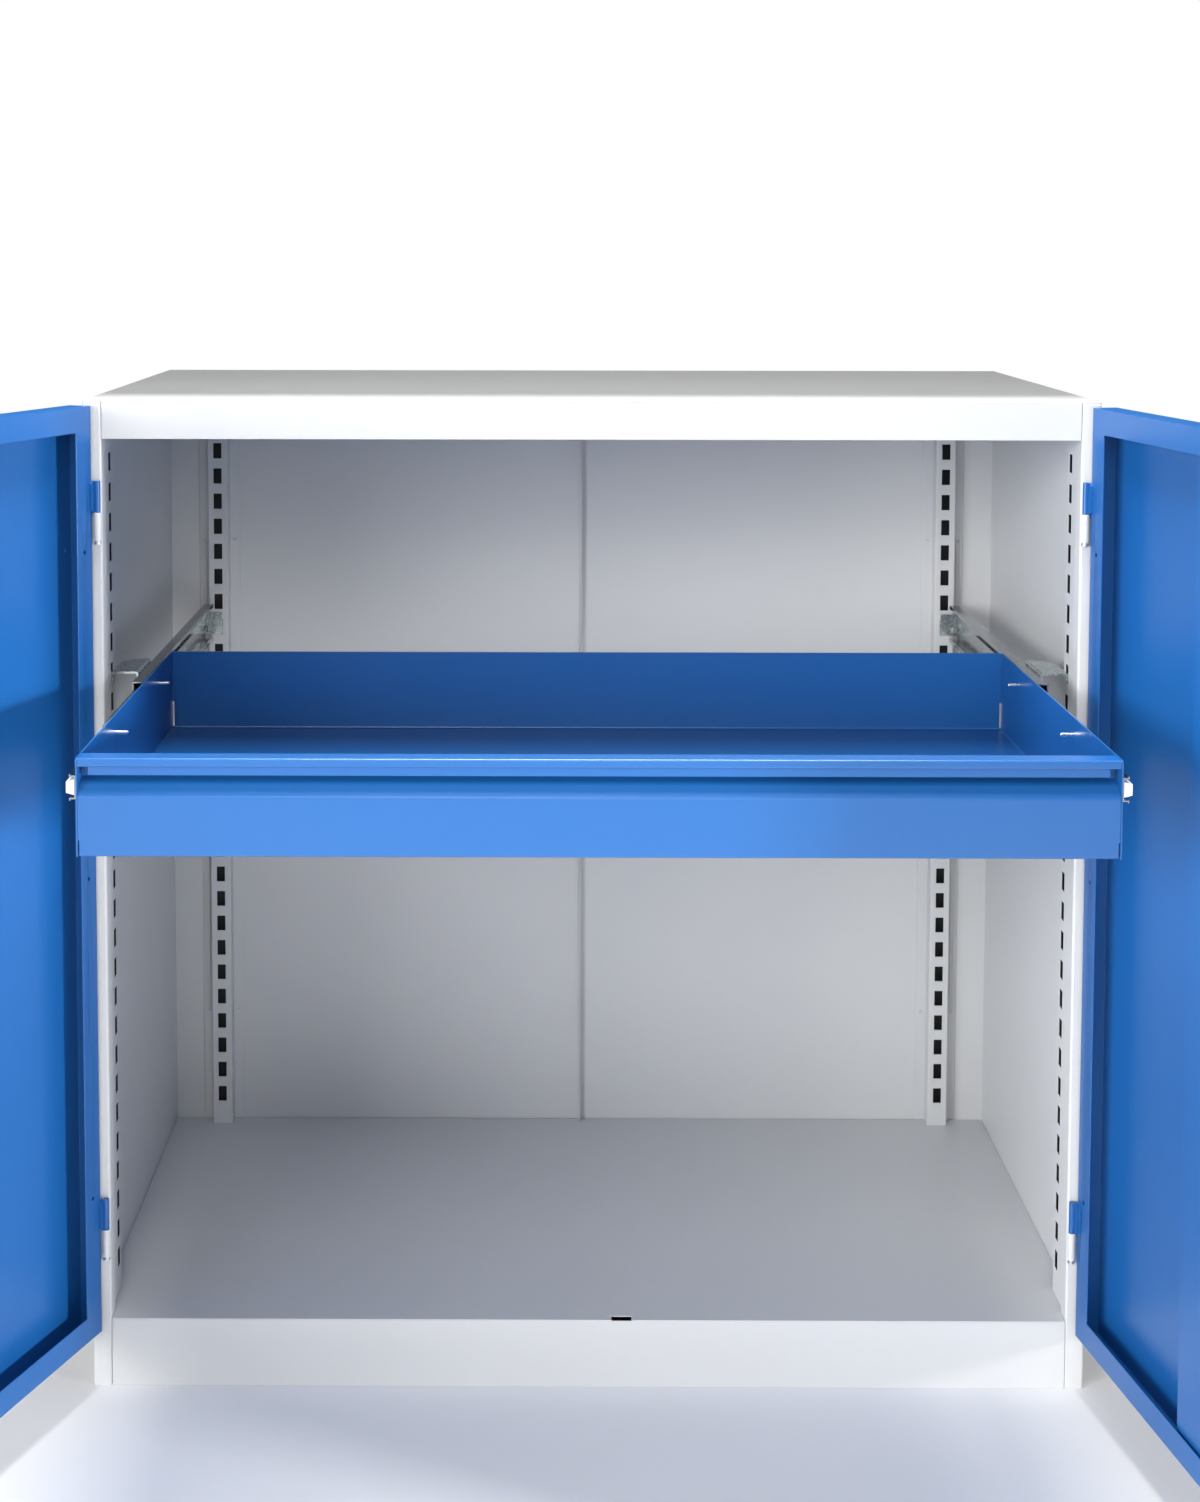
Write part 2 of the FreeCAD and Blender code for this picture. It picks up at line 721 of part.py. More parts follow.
def post_rivets():
    """Heads of the rivets that hold the inner feet of the rear posts to the back panels."""
    heads = []
    for side in SIDES:
        for height in rivet_heights():
            place = (signed(side, "rear_post_inner_x - rear_foot_width/2"),
                     "foot_y - foot_rivet_head", height)
            heads.append(rod("Y", place, "foot_rivet_crown", "foot_rivet_head", tip="foot_rivet_radius"))
    finish("post_rivets", group(heads))


# Hinges

def hinge_places(side):
    return [(signed(side, "hinge_x"), "hinge_y", height) for height in ("hinge_height", "lower_hinge_z")]


def carcass_hinges():
    """Knuckles on the front flanges, the pins that stand in them and the washers under them."""
    knuckles, pins, washers = [], [], []
    for side in SIDES:
        for x, y, z in hinge_places(side):
            low = f"{z} - knuckle_height"
            barrel = rod("Z", (x, y, low), "knuckle_radius", "knuckle_height")
            foot = box((f"{x} - knuckle_radius/2", f"{x} + knuckle_radius/2"), (y, "front_y"), (low, z))
            bore = rod("Z", (x, y, f"{low} - overcut"), "pin_bore_radius", "knuckle_height + 2*overcut")
            knuckles.append(cut(fuse([barrel, foot]), [bore]))
            washer_low = f"{low} - washer_height"
            disc = rod("Z", (x, y, washer_low), "washer_radius", "washer_height")
            hole = rod("Z", (x, y, f"{washer_low} - overcut"), "pin_bore_radius",
                       "washer_height + 2*overcut")
            washers.append(cut(disc, [hole]))
            collar_low = f"{washer_low} - pin_collar_height"
            collar = rod("Z", (x, y, collar_low), "pin_collar_radius", "pin_collar_height")
            shank = rod("Z", (x, y, collar_low), "hinge_pin_radius",
                        f"{z} + hinge_pin_rise - ({collar_low})")
            pins.append(fuse([collar, shank]))
    finish("hinge_knuckles", group(knuckles))
    finish("hinge_pins", group(pins))
    finish("hinge_washers", group(washers))


# Doors. A door is built about its own hinge pin: x runs to the free edge, and side turns it to left
# or right.

def door_placement(side):
    sign = "-1*" if side == "left" else ""
    return {
        "Placement__Base__x": signed(side, "hinge_x"),
        "Placement__Base__y": "hinge_y",
        "Placement__Rotation__Angle": f"{sign}{side}_door_angle",
    }


def inward(side, near, far):
    """A span from the hinge pin towards the free edge."""
    return (near, far) if side == "left" else (f"-({far})", f"-({near})")


def hung(side, distance):
    return distance if side == "left" else f"-({distance})"


def on_door(name, side, thing):
    """Hang a piece of a door on its hinge pin and swing it open."""
    # an angle cell needs a turn about +Z to be there first
    thing.Placement = FreeCAD.Placement(Vector(), Rotation(Vector(0, 0, 1), 1))
    return finish(name, thing, **door_placement(side))


def handle_holes(start, length):
    """Bores for the handle's spindle and the lock, from start inwards."""
    return [rod("Y", (hung("right", "handle_x"), start, height), radius, length) for height, radius in (
        ("door_middle_z", "spindle_radius + spindle_play"), ("lock_z", "lock_radius + spindle_play"))]


def door_panel(side):
    """Door skin folded to a tray: four walls with lips turned in behind it."""
    tray = box(inward(side, "door_edge_gap", "door_free_x"), ("door_skin_y", "door_lip_y"),
               ("door_bottom_height", "door_top_z"))
    hollow = box(inward(side, "door_edge_gap + door_sheet", "door_free_x - door_sheet"),
                 ("door_skin_y + door_sheet", "door_lip_y - door_sheet"),
                 ("door_bottom_height + door_sheet", "door_top_z - door_sheet"))
    lip = ("door_lip_y - door_sheet - overcut", "door_lip_y + overcut")
    mouth = box(inward(side, "door_edge_gap + door_lip", "door_free_x - door_lip"), lip,
                ("door_bottom_height + door_lip", "door_top_z - door_lip"))
    tools = [hollow, mouth]
    for step in (-1, 0, 1):
        place = (hung(side, "door_edge_gap + door_lip/2"), lip[0],
                 f"door_middle_z + {step}*door_hole_spacing")
        tools.append(rod("Y", place, "door_hole_radius", "door_sheet + 2*overcut"))
    if side == "right":
        tools += handle_holes("door_skin_y - overcut", "door_sheet + 2*overcut")
    on_door(f"{side}_door_panel", side, cut(tray, tools))


def door_lugs(side):
    """Upper halves of the lift-off hinges: a barrel over the pin and a leaf welded to the door's lip."""
    lugs = []
    end = "door_edge_gap + lug_leaf_overlap"
    for height in ("hinge_height", "lower_hinge_z"):
        top = f"{height} + lug_height"
        body = extrusion("Leaf", "XZ_Plane", [
            (hung(side, "0"), height),
            (hung(side, f"{end} - lug_leaf_chamfer"), height),
            (hung(side, end), f"{height} + lug_leaf_chamfer"),
            (hung(side, end), f"{top} - lug_leaf_chamfer"),
            (hung(side, f"{end} - lug_leaf_chamfer"), top),
            (hung(side, "0"), top),
        ], "-door_lip_y - lug_leaf_thickness", "lug_leaf_thickness")[0]
        barrel = rod("Z", ("0", "0", height), "lug_radius", "lug_height")
        bore = rod("Z", ("0", "0", f"{height} - overcut"), "pin_bore_radius", "lug_bore_depth + overcut")
        neck = box(inward(side, "0", "lug_radius"), ("door_lip_y", "0"), (height, top))
        lugs.append(cut(fuse([body, barrel, neck]), [bore]))
    on_door(f"{side}_door_lugs", side, group(lugs))


def door_stiffener(side):
    """Hat-shaped channel spot-welded upright inside the door skin."""
    low = "door_bottom_height + door_sheet + stiffener_end_gap"
    high = "door_top_z - door_sheet - stiffener_end_gap"
    skin = "door_skin_y + door_sheet"
    left, right = "stiffener_x - stiffener_width/2", "stiffener_x + stiffener_width/2"
    outer = box(inward(side, left, right), (skin, f"{skin} + stiffener_depth"), (low, high))
    inner = box(inward(side, f"{left} + stiffener_sheet", f"{right} - stiffener_sheet"),
                (f"{skin} - overcut", f"{skin} + stiffener_depth - stiffener_sheet"),
                (f"{low} - overcut", f"{high} + overcut"))
    feet = box(inward(side, f"{left} - stiffener_foot", f"{right} + stiffener_foot"),
               (skin, f"{skin} + stiffener_sheet"), (low, high))
    on_door(f"{side}_door_stiffener", side, cut(fuse([outer, feet]), [inner]))


def astragal():
    """Strip behind the left door's free edge: the shut right door holds it, and so the left door."""
    edge = "door_free_x + astragal_overlap"
    strip = box((f"{edge} - astragal_width", edge), ("door_lip_y", "door_lip_y + astragal_sheet"),
                ("door_bottom_height + door_lip", "door_top_z - door_lip"))
    on_door("left_door_astragal", "left", group([strip]))


# Handle, lock and latch, on the right door

def handle_plate():
    """Escutcheon on the door skin, which the handle's spindle and the lock pass through."""
    plate = box(inward("right", "handle_x - handle_plate_width/2", "handle_x + handle_plate_width/2"),
                ("plate_y", "door_skin_y"),
                ("door_middle_z - handle_plate_height/2", "door_middle_z + handle_plate_height/2"))
    holes = handle_holes("plate_y - overcut", "handle_plate_thickness + 2*overcut")
    on_door("handle_plate", "right", cut(plate, holes))


def handle_lever():
    """Lever on its hub, with the spindle that runs through the door."""
    x = hung("right", "handle_x")
    body, sketch, grip = extrusion("Lever", "XZ_Plane", [
        (f"{x} - lever_width/2", "door_middle_z"),
        (f"{x} - lever_end_width/2", "door_middle_z + lever_length"),
        (f"{x} + lever_end_width/2", "door_middle_z + lever_length"),
        (f"{x} + lever_width/2", "door_middle_z"),
    ], "-hub_y", "lever_thickness")
    body.Tip = round_corners(body, grip, sketch, [1, 2], "lever_round")
    hub = rod("Y", (x, "hub_y - lever_thickness", "door_middle_z"), "handle_hub_radius",
              "handle_hub_height + lever_thickness - fit_gap")
    spindle = rod("Y", (x, "hub_y", "door_middle_z"), "spindle_radius", "cam_y - (hub_y)")
    on_door("handle_lever", "right", fuse([body, hub, spindle]))


def latch_cam():
    """Disc on the spindle's inner end, with a crank pin for each latch rod."""
    x = hung("right", "handle_x")
    disc = rod("Y", (x, "cam_y", "door_middle_z"), "cam_radius", "cam_thickness")
    pins = [rod("Y", (f"{x} + {turn}*crank_offset", "cam_y", f"door_middle_z + {turn}*crank_offset"),
                "crank_pin_radius", "cam_thickness + crank_pin_length") for turn in (-1, 1)]
    on_door("latch_cam", "right", fuse([disc, *pins]))


def lock_cylinder():
    """Cylinder lock in the handle plate, with a keyway and a tongue on its inner end."""
    x = hung("right", "handle_x")
    inner_y = "door_skin_y + door_sheet + lock_inner_reach"
    barrel = rod("Y", (x, "lock_y", "lock_z"), "lock_radius", f"{inner_y} - (lock_y)")
    keyway = box((f"{x} - keyway_width/2", f"{x} + keyway_width/2"),
                 ("lock_y - overcut", "lock_y + keyway_depth"),
                 ("lock_z - keyway_length/2", "lock_z + keyway_length/2"))
    tongue = box((f"{x} - lock_tongue_width/2", f"{x} + lock_tongue_width/2"),
                 (inner_y, f"{inner_y} + lock_tongue_thickness"),
                 ("lock_z - lock_tongue_length", "lock_z + lock_tongue_width/2"))
    on_door("lock_cylinder", "right", fuse([cut(barrel, [keyway]), tongue]))


# The two latch rods: turn is 1 for the upper one, on the hinge side of the cam, and -1 for the lower one.

def rod_place(turn):
    return f"{hung('right', 'handle_x')} + {turn}*crank_offset"


def latch_rod(name, turn, tip_start, tip_end):
    """Flat rod with a slotted yoke that a crank pin lifts and a joggled tip, thrown to its latched end."""
    depth = ("rod_y", "rod_end_y")
    cut_depth = ("rod_y - overcut", "rod_end_y + overcut")
    crank_z = f"door_middle_z + {turn}*crank_offset"
    middle = f"{rod_place(turn)} + {turn}*yoke_offset"
    yoke = box((f"{middle} - yoke_width/2", f"{middle} + yoke_width/2"), depth,
               (f"{crank_z} - yoke_height/2", f"{crank_z} + yoke_height/2"))
    slot = box((f"{middle} - yoke_width/2 + yoke_rim", f"{middle} + yoke_width/2 - yoke_rim"), cut_depth,
               (f"{crank_z} - crank_pin_radius - yoke_play", f"{crank_z} + crank_pin_radius + yoke_play"))
    width = (f"{rod_place(turn)} - rod_width/2", f"{rod_place(turn)} + rod_width/2")
    near = f"{crank_z} + {turn}*(crank_pin_radius + yoke_play)"
    joggle = f"{tip_start} - {turn}*rod_joggle_height"
    bar = box(width, depth, upward(turn, near, tip_start))
    step = box(width, ("rod_y", "rod_tip_y + rod_thickness"), upward(turn, joggle, tip_start))
    tip = box(width, ("rod_tip_y", "rod_tip_y + rod_thickness"), upward(turn, joggle, tip_end))
    on_door(name, "right", fuse([cut(yoke, [slot]), bar, step, tip]))


def upward(turn, near, far):
    """The low and high ends of a span that runs up for turn 1 and down for turn -1."""
    return (near, far) if turn == 1 else (far, near)


def latch_rods():
    """Rods that bolt the right door behind the top rail and into the floor pan."""
    latch_rod("upper_latch_rod", 1, "header_z - rod_joggle_gap",
              "header_z - rod_free_gap + rod_stroke")
    latch_rod("lower_latch_rod", -1, "plinth_height + rod_joggle_gap",
              "plinth_height + rod_free_gap - rod_stroke")


def rod_guides():
    """Plastic guide blocks that hold the rods, each on a foot fixed to the lip at the door's free edge."""
    guides = []
    foot_end = "-(hinge_x + door_meeting_gap - astragal_overlap - guide_edge_gap)"
    for turn, low in ((1, "header_z - guide_setback"),
                      (-1, "plinth_height + guide_setback - guide_height")):
        height = (low, f"{low} + guide_height")
        reach = "rod_width/2 + rod_clearance/2"
        block = box((f"{rod_place(turn)} - {reach} - guide_wall",
                     f"{rod_place(turn)} + {reach} + guide_wall"),
                    ("door_lip_y", "rod_end_y + rod_clearance/2 + guide_wall"), height)
        way = box((f"{rod_place(turn)} - ({reach})", f"{rod_place(turn)} + {reach}"),
                  ("rod_y - rod_clearance/2", "rod_end_y + rod_clearance/2"),
                  (f"{low} - overcut", f"{low} + guide_height + overcut"))
        foot = box((foot_end, rod_place(turn)), ("door_lip_y", "door_lip_y + guide_foot"), height)
        guides.append(cut(fuse([block, foot]), [way]))
    on_door("rod_guides", "right", group(guides))


# Drawer, built closed and moved out

PULLED = {"Placement__Base__y": "-drawer_out"}


def drawer_front():
    """Front folded from one sheet: face, slope, shelf, back wall, top lip and a hem to grip."""
    def point(depth, drop):
        return f"drawer_y + {depth}", f"drawer_top_height - ({drop})"
    gauge = "drawer_sheet"
    lip_low = "front_lip_height"
    hem_low = "front_lip_height + grip_hem_height"
    wall_low = "front_lip_height + recess_wall_height"
    knee_low = "front_lip_height + recess_knee_height"
    step_low = "front_lip_height + recess_height"
    corners = [
        point("0", "0"),
        point("0", lip_low),
        point("grip_hem_setback", lip_low),
        point("grip_hem_setback", hem_low),
        point(f"grip_hem_setback + {gauge}", hem_low),
        point(f"grip_hem_setback + {gauge}", f"{lip_low} - {gauge}"),
        point(gauge, f"{lip_low} - {gauge}"),
        point(gauge, gauge),
        point(f"front_lip_depth - {gauge}", gauge),
        point(f"front_lip_depth - {gauge}", wall_low),
        point("recess_knee_depth", knee_low),
        point("0", step_low),
        point("0", "drawer_height"),
        point("front_foot_depth", "drawer_height"),
        point("front_foot_depth", f"drawer_height - {gauge}"),
        point(gauge, f"drawer_height - {gauge}"),
        point(gauge, f"{step_low} + {gauge}/2"),
        point(f"recess_knee_depth + {gauge}/2", f"{knee_low} + {gauge}"),
        point("front_lip_depth", f"{wall_low} + 3*{gauge}/4"),
        point("front_lip_depth", "0"),
    ]
    top_front, lip_bottom, shelf_rear, knee, step, face_bottom, top_rear = 0, 1, 9, 10, 11, 12, 19
    half = "(drawer_inner_x - fit_gap)"
    body, sketch, pad = extrusion("DrawerFront", "YZ_Plane", corners, f"-{half}", f"2*{half}")
    bends = round_corners(body, pad, sketch,
                          [top_front, lip_bottom, shelf_rear, face_bottom, top_rear],
                          "drawer_bend_radius")
    shoulder = round_corners(body, bends, sketch, [step], "recess_bend_radius")
    body.Tip = round_corners(body, shoulder, sketch, [knee], "recess_knee_radius")
    cuts = []
    for side in SIDES:
        end = ("drawer_y - overcut", "drawer_y + front_foot_depth + overcut")
        cuts.append(box(across(side, f"{half} - front_slit_width", f"{half} + overcut"), end,
                        ("drawer_z - overcut", "drawer_z + front_slit_height")))
        cuts.append(box(across(side, f"{half} - grip_hem_end_gap", f"{half} + overcut"),
                        ("drawer_y + grip_hem_setback/2",
                         f"drawer_y + grip_hem_setback + 2*{gauge}"),
                        (f"drawer_top_height - ({hem_low}) - overcut",
                         f"drawer_top_height - {lip_low}")))
    finish("drawer_front", cut(body, cuts), **PULLED)


def along_x(side, start, radius, length, place):
    """A round bar from start outwards, across the drawer's side wall."""
    low = start if side == "right" else f"-({start}) - ({length})"
    return rod("X", (low, *place), radius, length)


def drawer_side(side):
    """Side plate with a foot under the floor, a rounded top front corner and holes for the studs."""
    start = "drawer_inner_x" if side == "right" else "-drawer_x"
    body, sketch, pad = extrusion("DrawerSide", "YZ_Plane", [
        ("drawer_y", "drawer_z"),
        ("drawer_rear_y", "drawer_z"),
        ("drawer_rear_y", "drawer_top_height"),
        ("drawer_y", "drawer_top_height"),
    ], start, "drawer_sheet")
    body.Tip = round_corners(body, pad, sketch, [3], "drawer_side_round")
    foot = box(across(side, "drawer_inner_x - drawer_side_foot", "drawer_x"),
               ("drawer_y + front_foot_depth + fit_gap", "drawer_rear_y - drawer_sheet - fit_gap"),
               ("drawer_z", "drawer_z + drawer_sheet"))
    holes = [along_x(side, "drawer_inner_x - overcut", radius, "drawer_sheet + 2*overcut",
                     (f"drawer_y + {setback}", f"drawer_top_height - {drop}"))
             for setback, drop, radius in (
                 ("front_stud_setback", "stud_drop", "stud_radius + fit_gap/4"),
                 ("rear_stud_setback", "stud_drop", "stud_radius + fit_gap/4"),
                 ("side_hole_setback", "side_hole_drop", "side_hole_radius"))]
    finish(f"drawer_{side}_side", cut(fuse([body, foot]), holes), **PULLED)


def drawer_floor():
    """Floor sheet that lies on the feet of the front, the back and the sides."""
    x = "drawer_inner_x - fit_gap"
    depth = ("drawer_y + drawer_sheet + fit_gap", "drawer_rear_y - drawer_sheet - fit_gap")
    floor = box((f"-({x})", x), depth, ("drawer_floor_z - drawer_sheet", "drawer_floor_z"))
    finish("drawer_floor", group([floor]), **PULLED)


def drawer_back():
    """Back plate between the sides, with a slit in each lower corner."""
    x = "drawer_inner_x - fit_gap/2"
    plate = box((f"-({x})", x), ("drawer_rear_y - drawer_sheet", "drawer_rear_y"),
                ("drawer_z", "drawer_top_height"))
    slits = [box(across(side, f"{x} - back_slit_width", f"{x} + overcut"),
                 ("drawer_rear_y - 2*drawer_sheet", "drawer_rear_y + overcut"),
                 ("drawer_floor_z", "drawer_floor_z + back_slit_height")) for side in SIDES]
    finish("drawer_back", cut(plate, slits), **PULLED)


def slide_studs():
    """Flush rivet studs that join the drawer's sides to the inner slides and stand out inside."""
    studs = []
    tip_x = "drawer_inner_x - stud_reach"
    shank = f"drawer_x + inner_sheet - ({tip_x} + stud_tip)"
    for side in SIDES:
        for setback in ("front_stud_setback", "rear_stud_setback"):
            place = (f"drawer_y + {setback}", "stud_z")
            bar = along_x(side, f"{tip_x} + stud_tip", "stud_radius", shank, place)
            low = tip_x if side == "right" else f"-({tip_x}) - stud_tip"
            ends = ["stud_tip_radius", "stud_radius"]
            if side == "left":
                ends.reverse()
            tip = rod("X", (low, *place), ends[0], "stud_tip", tip=ends[1])
            studs.append(fuse([bar, tip]))
    finish("slide_studs", group(studs), **PULLED)


# Telescopic slides. A section is drawn with u outwards from the drawer's side and v up from its
# middle line.

def slide_section(side, points, start, length):
    """A rolled slide member: the section on the XZ plane, run back along +Y from start."""
    corners = [(signed(side, f"drawer_x + {u}"), f"slide_z + {v}") for u, v in points]
    # a pad on the XZ plane runs towards -Y
    return extrusion("SlideMember", "XZ_Plane", corners, f"-({start}) - ({length})", length)[0]


def channel(web, open_end, half, gauge, lip="0"):
    """C section with its web at one u, its flanges reaching to open_end, and lips turned in there."""
    toward = "-" if lip != "0" else "+"
    flange_under = f"({half} - {gauge})"
    top = [(web, f"({half})"), (open_end, f"({half})")]
    if toward == "-":
        top += [(open_end, f"({half} - {lip})"), (f"{open_end} + {gauge}", f"({half} - {lip})"),
                (f"{open_end} + {gauge}", flange_under)]
    else:
        top += [(open_end, flange_under)]
    inside = f"{web} - {gauge}"
    top += [(inside, flange_under)]
    return top + [(u, f"-1*{v}") for u, v in reversed(top)]


RIVET_DEPTHS = (
    "bracket_y + front_rivet_setback",
    "bracket_y + rear_rivet_setback",
    "clip_y - clip_length/2",
)


def rivet_bars(side, radius, inner, outer):
    """Round bars across the outer slide and its brackets, one on each rivet's axis."""
    length = f"{outer} - ({inner})"
    return [along_x(side, inner, radius, length, (depth, "slide_z")) for depth in RIVET_DEPTHS]


def rivet_bores(side):
    return rivet_bars(side, "bracket_rivet_radius + fit_gap/4", "slide_x - outer_sheet - overcut",
                      "slide_x + bracket_sheet + overcut")


def slide_outer(side):
    """The member that stands in the carcass, riveted to the front bracket and the rear clip."""
    points = channel("slide_thickness", "outer_start", "outer_v", "outer_sheet", "outer_lip")
    member = slide_section(side, points, "slide_y", "slide_length")
    finish(f"{side}_slide_outer", cut(member, rivet_bores(side)))


def slide_middle(side):
    """The member between the two, which travels half as far as the drawer."""
    points = channel("middle_reach", "middle_start", "middle_over_v", "middle_sheet")
    member = slide_section(side, points, "middle_y", "slide_length")
    finish(f"{side}_slide_middle", member, Placement__Base__y="-drawer_out/2")


def slide_inner(side):
    """The drawer's own member: web on the drawer's side, lips turned up at their ends for the balls."""
    half, race, under = "(inner_half_height)", "(race_v)", "(race_v - inner_sheet)"
    top = [
        ("0", race),
        ("inner_reach - inner_lip_end", race),
        ("inner_reach - inner_lip_end", half),
        ("inner_reach", half),
        ("inner_reach", under),
        ("inner_sheet", under),
    ]
    points = top + [(u, f"-1*{v}") for u, v in reversed(top)]
    member = slide_section(side, points, "inner_y", "slide_length")
    holes = [along_x(side, "drawer_x - overcut", "stud_radius + fit_gap/4", "inner_sheet + overcut",
                     (f"drawer_y + {setback}", "stud_z"))
             for setback in ("front_stud_setback", "rear_stud_setback")]
    finish(f"{side}_slide_inner", cut(member, holes), **PULLED)


def slide_bumpers():
    """Plastic stops in the front ends of the inner members."""
    bumpers = []
    for side in SIDES:
        half = "bumper_height/2"
        points = [("inner_sheet", f"-1*({half})"), ("inner_sheet", f"({half})"),
                  ("bumper_reach", f"({half} - bumper_taper)"),
                  ("bumper_reach", f"-1*({half} - bumper_taper)")]
        bumpers.append(slide_section(side, points, "inner_y", "bumper_length"))
    finish("slide_bumpers", group(bumpers), **PULLED)


def ball_places(first, sign_v, level):
    """Along-slide places of one row of balls."""
    return [(f"{first} + cage_end + {step}*ball_pitch", f"slide_z + {sign_v}*({level})")
            for step in range(int(SIZES["ball_count"]))]


def ball_stage(side, stage, start, travel, offset, level, wall):
    """A ball cage bent to a C around the member inside it, and its two rows of balls."""
    first = f"{start} + cage_setback"
    x = signed(side, f"drawer_x + {offset}")
    rows = [place for sign_v in (-1, 1) for place in ball_places(first, sign_v, level)]
    balls = []
    for depth, height in rows:
        ball = doc.addObject("Part::Sphere", "Ball")
        balls.append(bind(ball, Radius="ball_radius", Placement__Base__x=x, Placement__Base__y=depth,
                          Placement__Base__z=height))
    arm = f"({level} + cage_sheet/2)"
    points = channel(f"{wall} + cage_sheet", f"{offset} - cage_arm_reach", arm, "cage_sheet")
    strip = slide_section(side, points, first, "cage_length")
    holes = [rod("Z", (x, depth, f"{height} - cage_sheet"), "ball_radius + cage_gap", "2*cage_sheet")
             for depth, height in rows]
    moved = {"Placement__Base__y": f"-drawer_out*{travel}"}
    finish(f"{side}_{stage}_cage", cut(strip, holes), **moved)
    finish(f"{side}_{stage}_balls", group(balls), **moved)


def front_bracket(side):
    """C-shaped bracket whose top and bottom flanges run into the front post's slots and hook there."""
    def point(distance, height):
        return signed(side, distance), height
    post = "front_post_x - fit_gap"
    corners = [
        point("slide_x", "bracket_bottom_z"),
        point("slide_x", "bracket_top_z"),
        point(post, "bracket_top_z"),
        point(post, "bracket_top_z - bracket_sheet"),
        point("slide_x + bracket_sheet", "bracket_top_z - bracket_sheet"),
        point("slide_x + bracket_sheet", "bracket_bottom_z + bracket_sheet"),
        point(post, "bracket_bottom_z + bracket_sheet"),
        point(post, "bracket_bottom_z"),
    ]
    body, sketch, pad = extrusion("Bracket", "XZ_Plane", corners,
                                  "-(bracket_y) - bracket_length", "bracket_length")
    bends = round_corners(body, pad, sketch, [0, 1], "bracket_bend_radius")
    doc.recompute()
    space = bends.Shape.BoundBox
    rear_corner = Vector(space.XMax if side == "right" else space.XMin, space.YMax, 0)
    rounded = body.newObject("PartDesign::Fillet", "Corner")
    rounded.Base = (bends, edges_along(bends, Vector(0, 0, 1), [rear_corner]))
    bind(rounded, Radius="bracket_corner_radius")
    body.Tip = rounded
    finish(f"front_{side}_bracket", cut(fuse([body, *bracket_hooks(side, post)]), rivet_bores(side)))


def bracket_hooks(side, post):
    """Tabs from the bracket's flanges through two slots of the front post, bent behind its web."""
    hook_x = "front_post_x + post_sheet + fit_gap"
    behind = across(side, hook_x, f"{hook_x} + bracket_sheet")
    through = across(side, f"{post} - bracket_sheet", f"{hook_x} + bracket_sheet")
    width = ("bracket_y", "bracket_y + hook_width")
    edge = ("bracket_y", "bracket_y + bracket_sheet")
    pieces = []
    for low, slot_z in (("bracket_top_z - bracket_sheet", "hook_slot_z"),
                        ("bracket_bottom_z", "hook_slot_z - bracket_slot_steps*slot_pitch")):
        slot_low, slot_high = f"{slot_z} - slot_height/2", f"{slot_z} + slot_height/2"
        pieces += [
            box(through, width, (low, f"{low} + bracket_sheet")),
            box(through, edge, (slot_low, f"{low} + bracket_sheet")),
            box(behind, edge, (f"{slot_low} - hook_lap", slot_low)),
            box(behind, width, (low, f"{slot_high} + hook_lap")),
        ]
    return pieces


def rear_clip(side):
    """Angle clip behind the outer slide, hooked into a slot of the rear post."""
    low = "clip_top_z - clip_height"
    height = (low, "clip_top_z")
    arm = box(across(side, "slide_x", "slide_x + bracket_sheet"),
              ("clip_y + bracket_sheet - clip_length", "clip_y + bracket_sheet"), height)
    inner_x = "rear_post_centre - slot_width/2 + clip_edge_gap"
    plate = box(across(side, inner_x, "slide_x + bracket_sheet"),
                ("clip_y", "clip_y + bracket_sheet"), height)
    tab = across(side, inner_x, f"{inner_x} + clip_tab_width")
    slot_low = "hook_slot_z - slot_pitch - slot_height/2"
    tab_top = f"{slot_low} + clip_tab_height"
    behind_y = "rear_crown_y + post_sheet + fit_gap"
    through = box(tab, ("clip_y", f"{behind_y} + bracket_sheet"), (slot_low, tab_top))
    hook = box(tab, (behind_y, f"{behind_y} + bracket_sheet"), (f"{slot_low} - hook_lap", tab_top))
    windows = []
    window_low = f"{low} + clip_window_margin"
    for step in (0, 1):
        outer = f"slide_x - {step}*(clip_window_width + clip_window_margin/2)"
        windows.append(box(across(side, f"{outer} - clip_window_width", outer),
                           ("clip_y - overcut", "clip_y + bracket_sheet + fit_gap"),
                           (window_low, f"{window_low} + clip_window_height")))
    finish(f"rear_{side}_clip", cut(fuse([arm, plate, through, hook]), [*windows, *rivet_bores(side)]))


def bracket_rivets():
    """Rivets that hold the outer slides to their brackets and clips."""
    rivets = []
    for side in SIDES:
        rivets += rivet_bars(side, "bracket_rivet_radius", "slide_x - outer_sheet - bracket_rivet_head",
                             "slide_x + bracket_sheet + bracket_rivet_head")
    finish("bracket_rivets", group(rivets))


def build():
    for side in SIDES:
        side_panel(side)
        back_panel(side)
        front_post(side)
        rear_post(side)
    top_cover()
    top_front_rail()
    floor_pan()
    plinth()
    levelling_screws()
    post_rivets()
    carcass_hinges()
    for side in SIDES:
        door_panel(side)
        door_lugs(side)
        door_stiffener(side)
    astragal()
    handle_plate()
    handle_lever()
    latch_cam()
    lock_cylinder()
    latch_rods()
    rod_guides()
    drawer_front()
    drawer_floor()
    drawer_back()
    slide_studs()
    slide_bumpers()
    for side in SIDES:
        drawer_side(side)
        slide_outer(side)
        slide_middle(side)
        slide_inner(side)
        ball_stage(side, "outer", "middle_y", "0.25", "outer_ball_offset", "outer_ball_v",
                   "outer_cage_wall")
        ball_stage(side, "inner", "inner_y", "0.75", "inner_ball_offset", "inner_ball_v",
                   "inner_cage_wall")
        front_bracket(side)
        rear_clip(side)
    bracket_rivets()


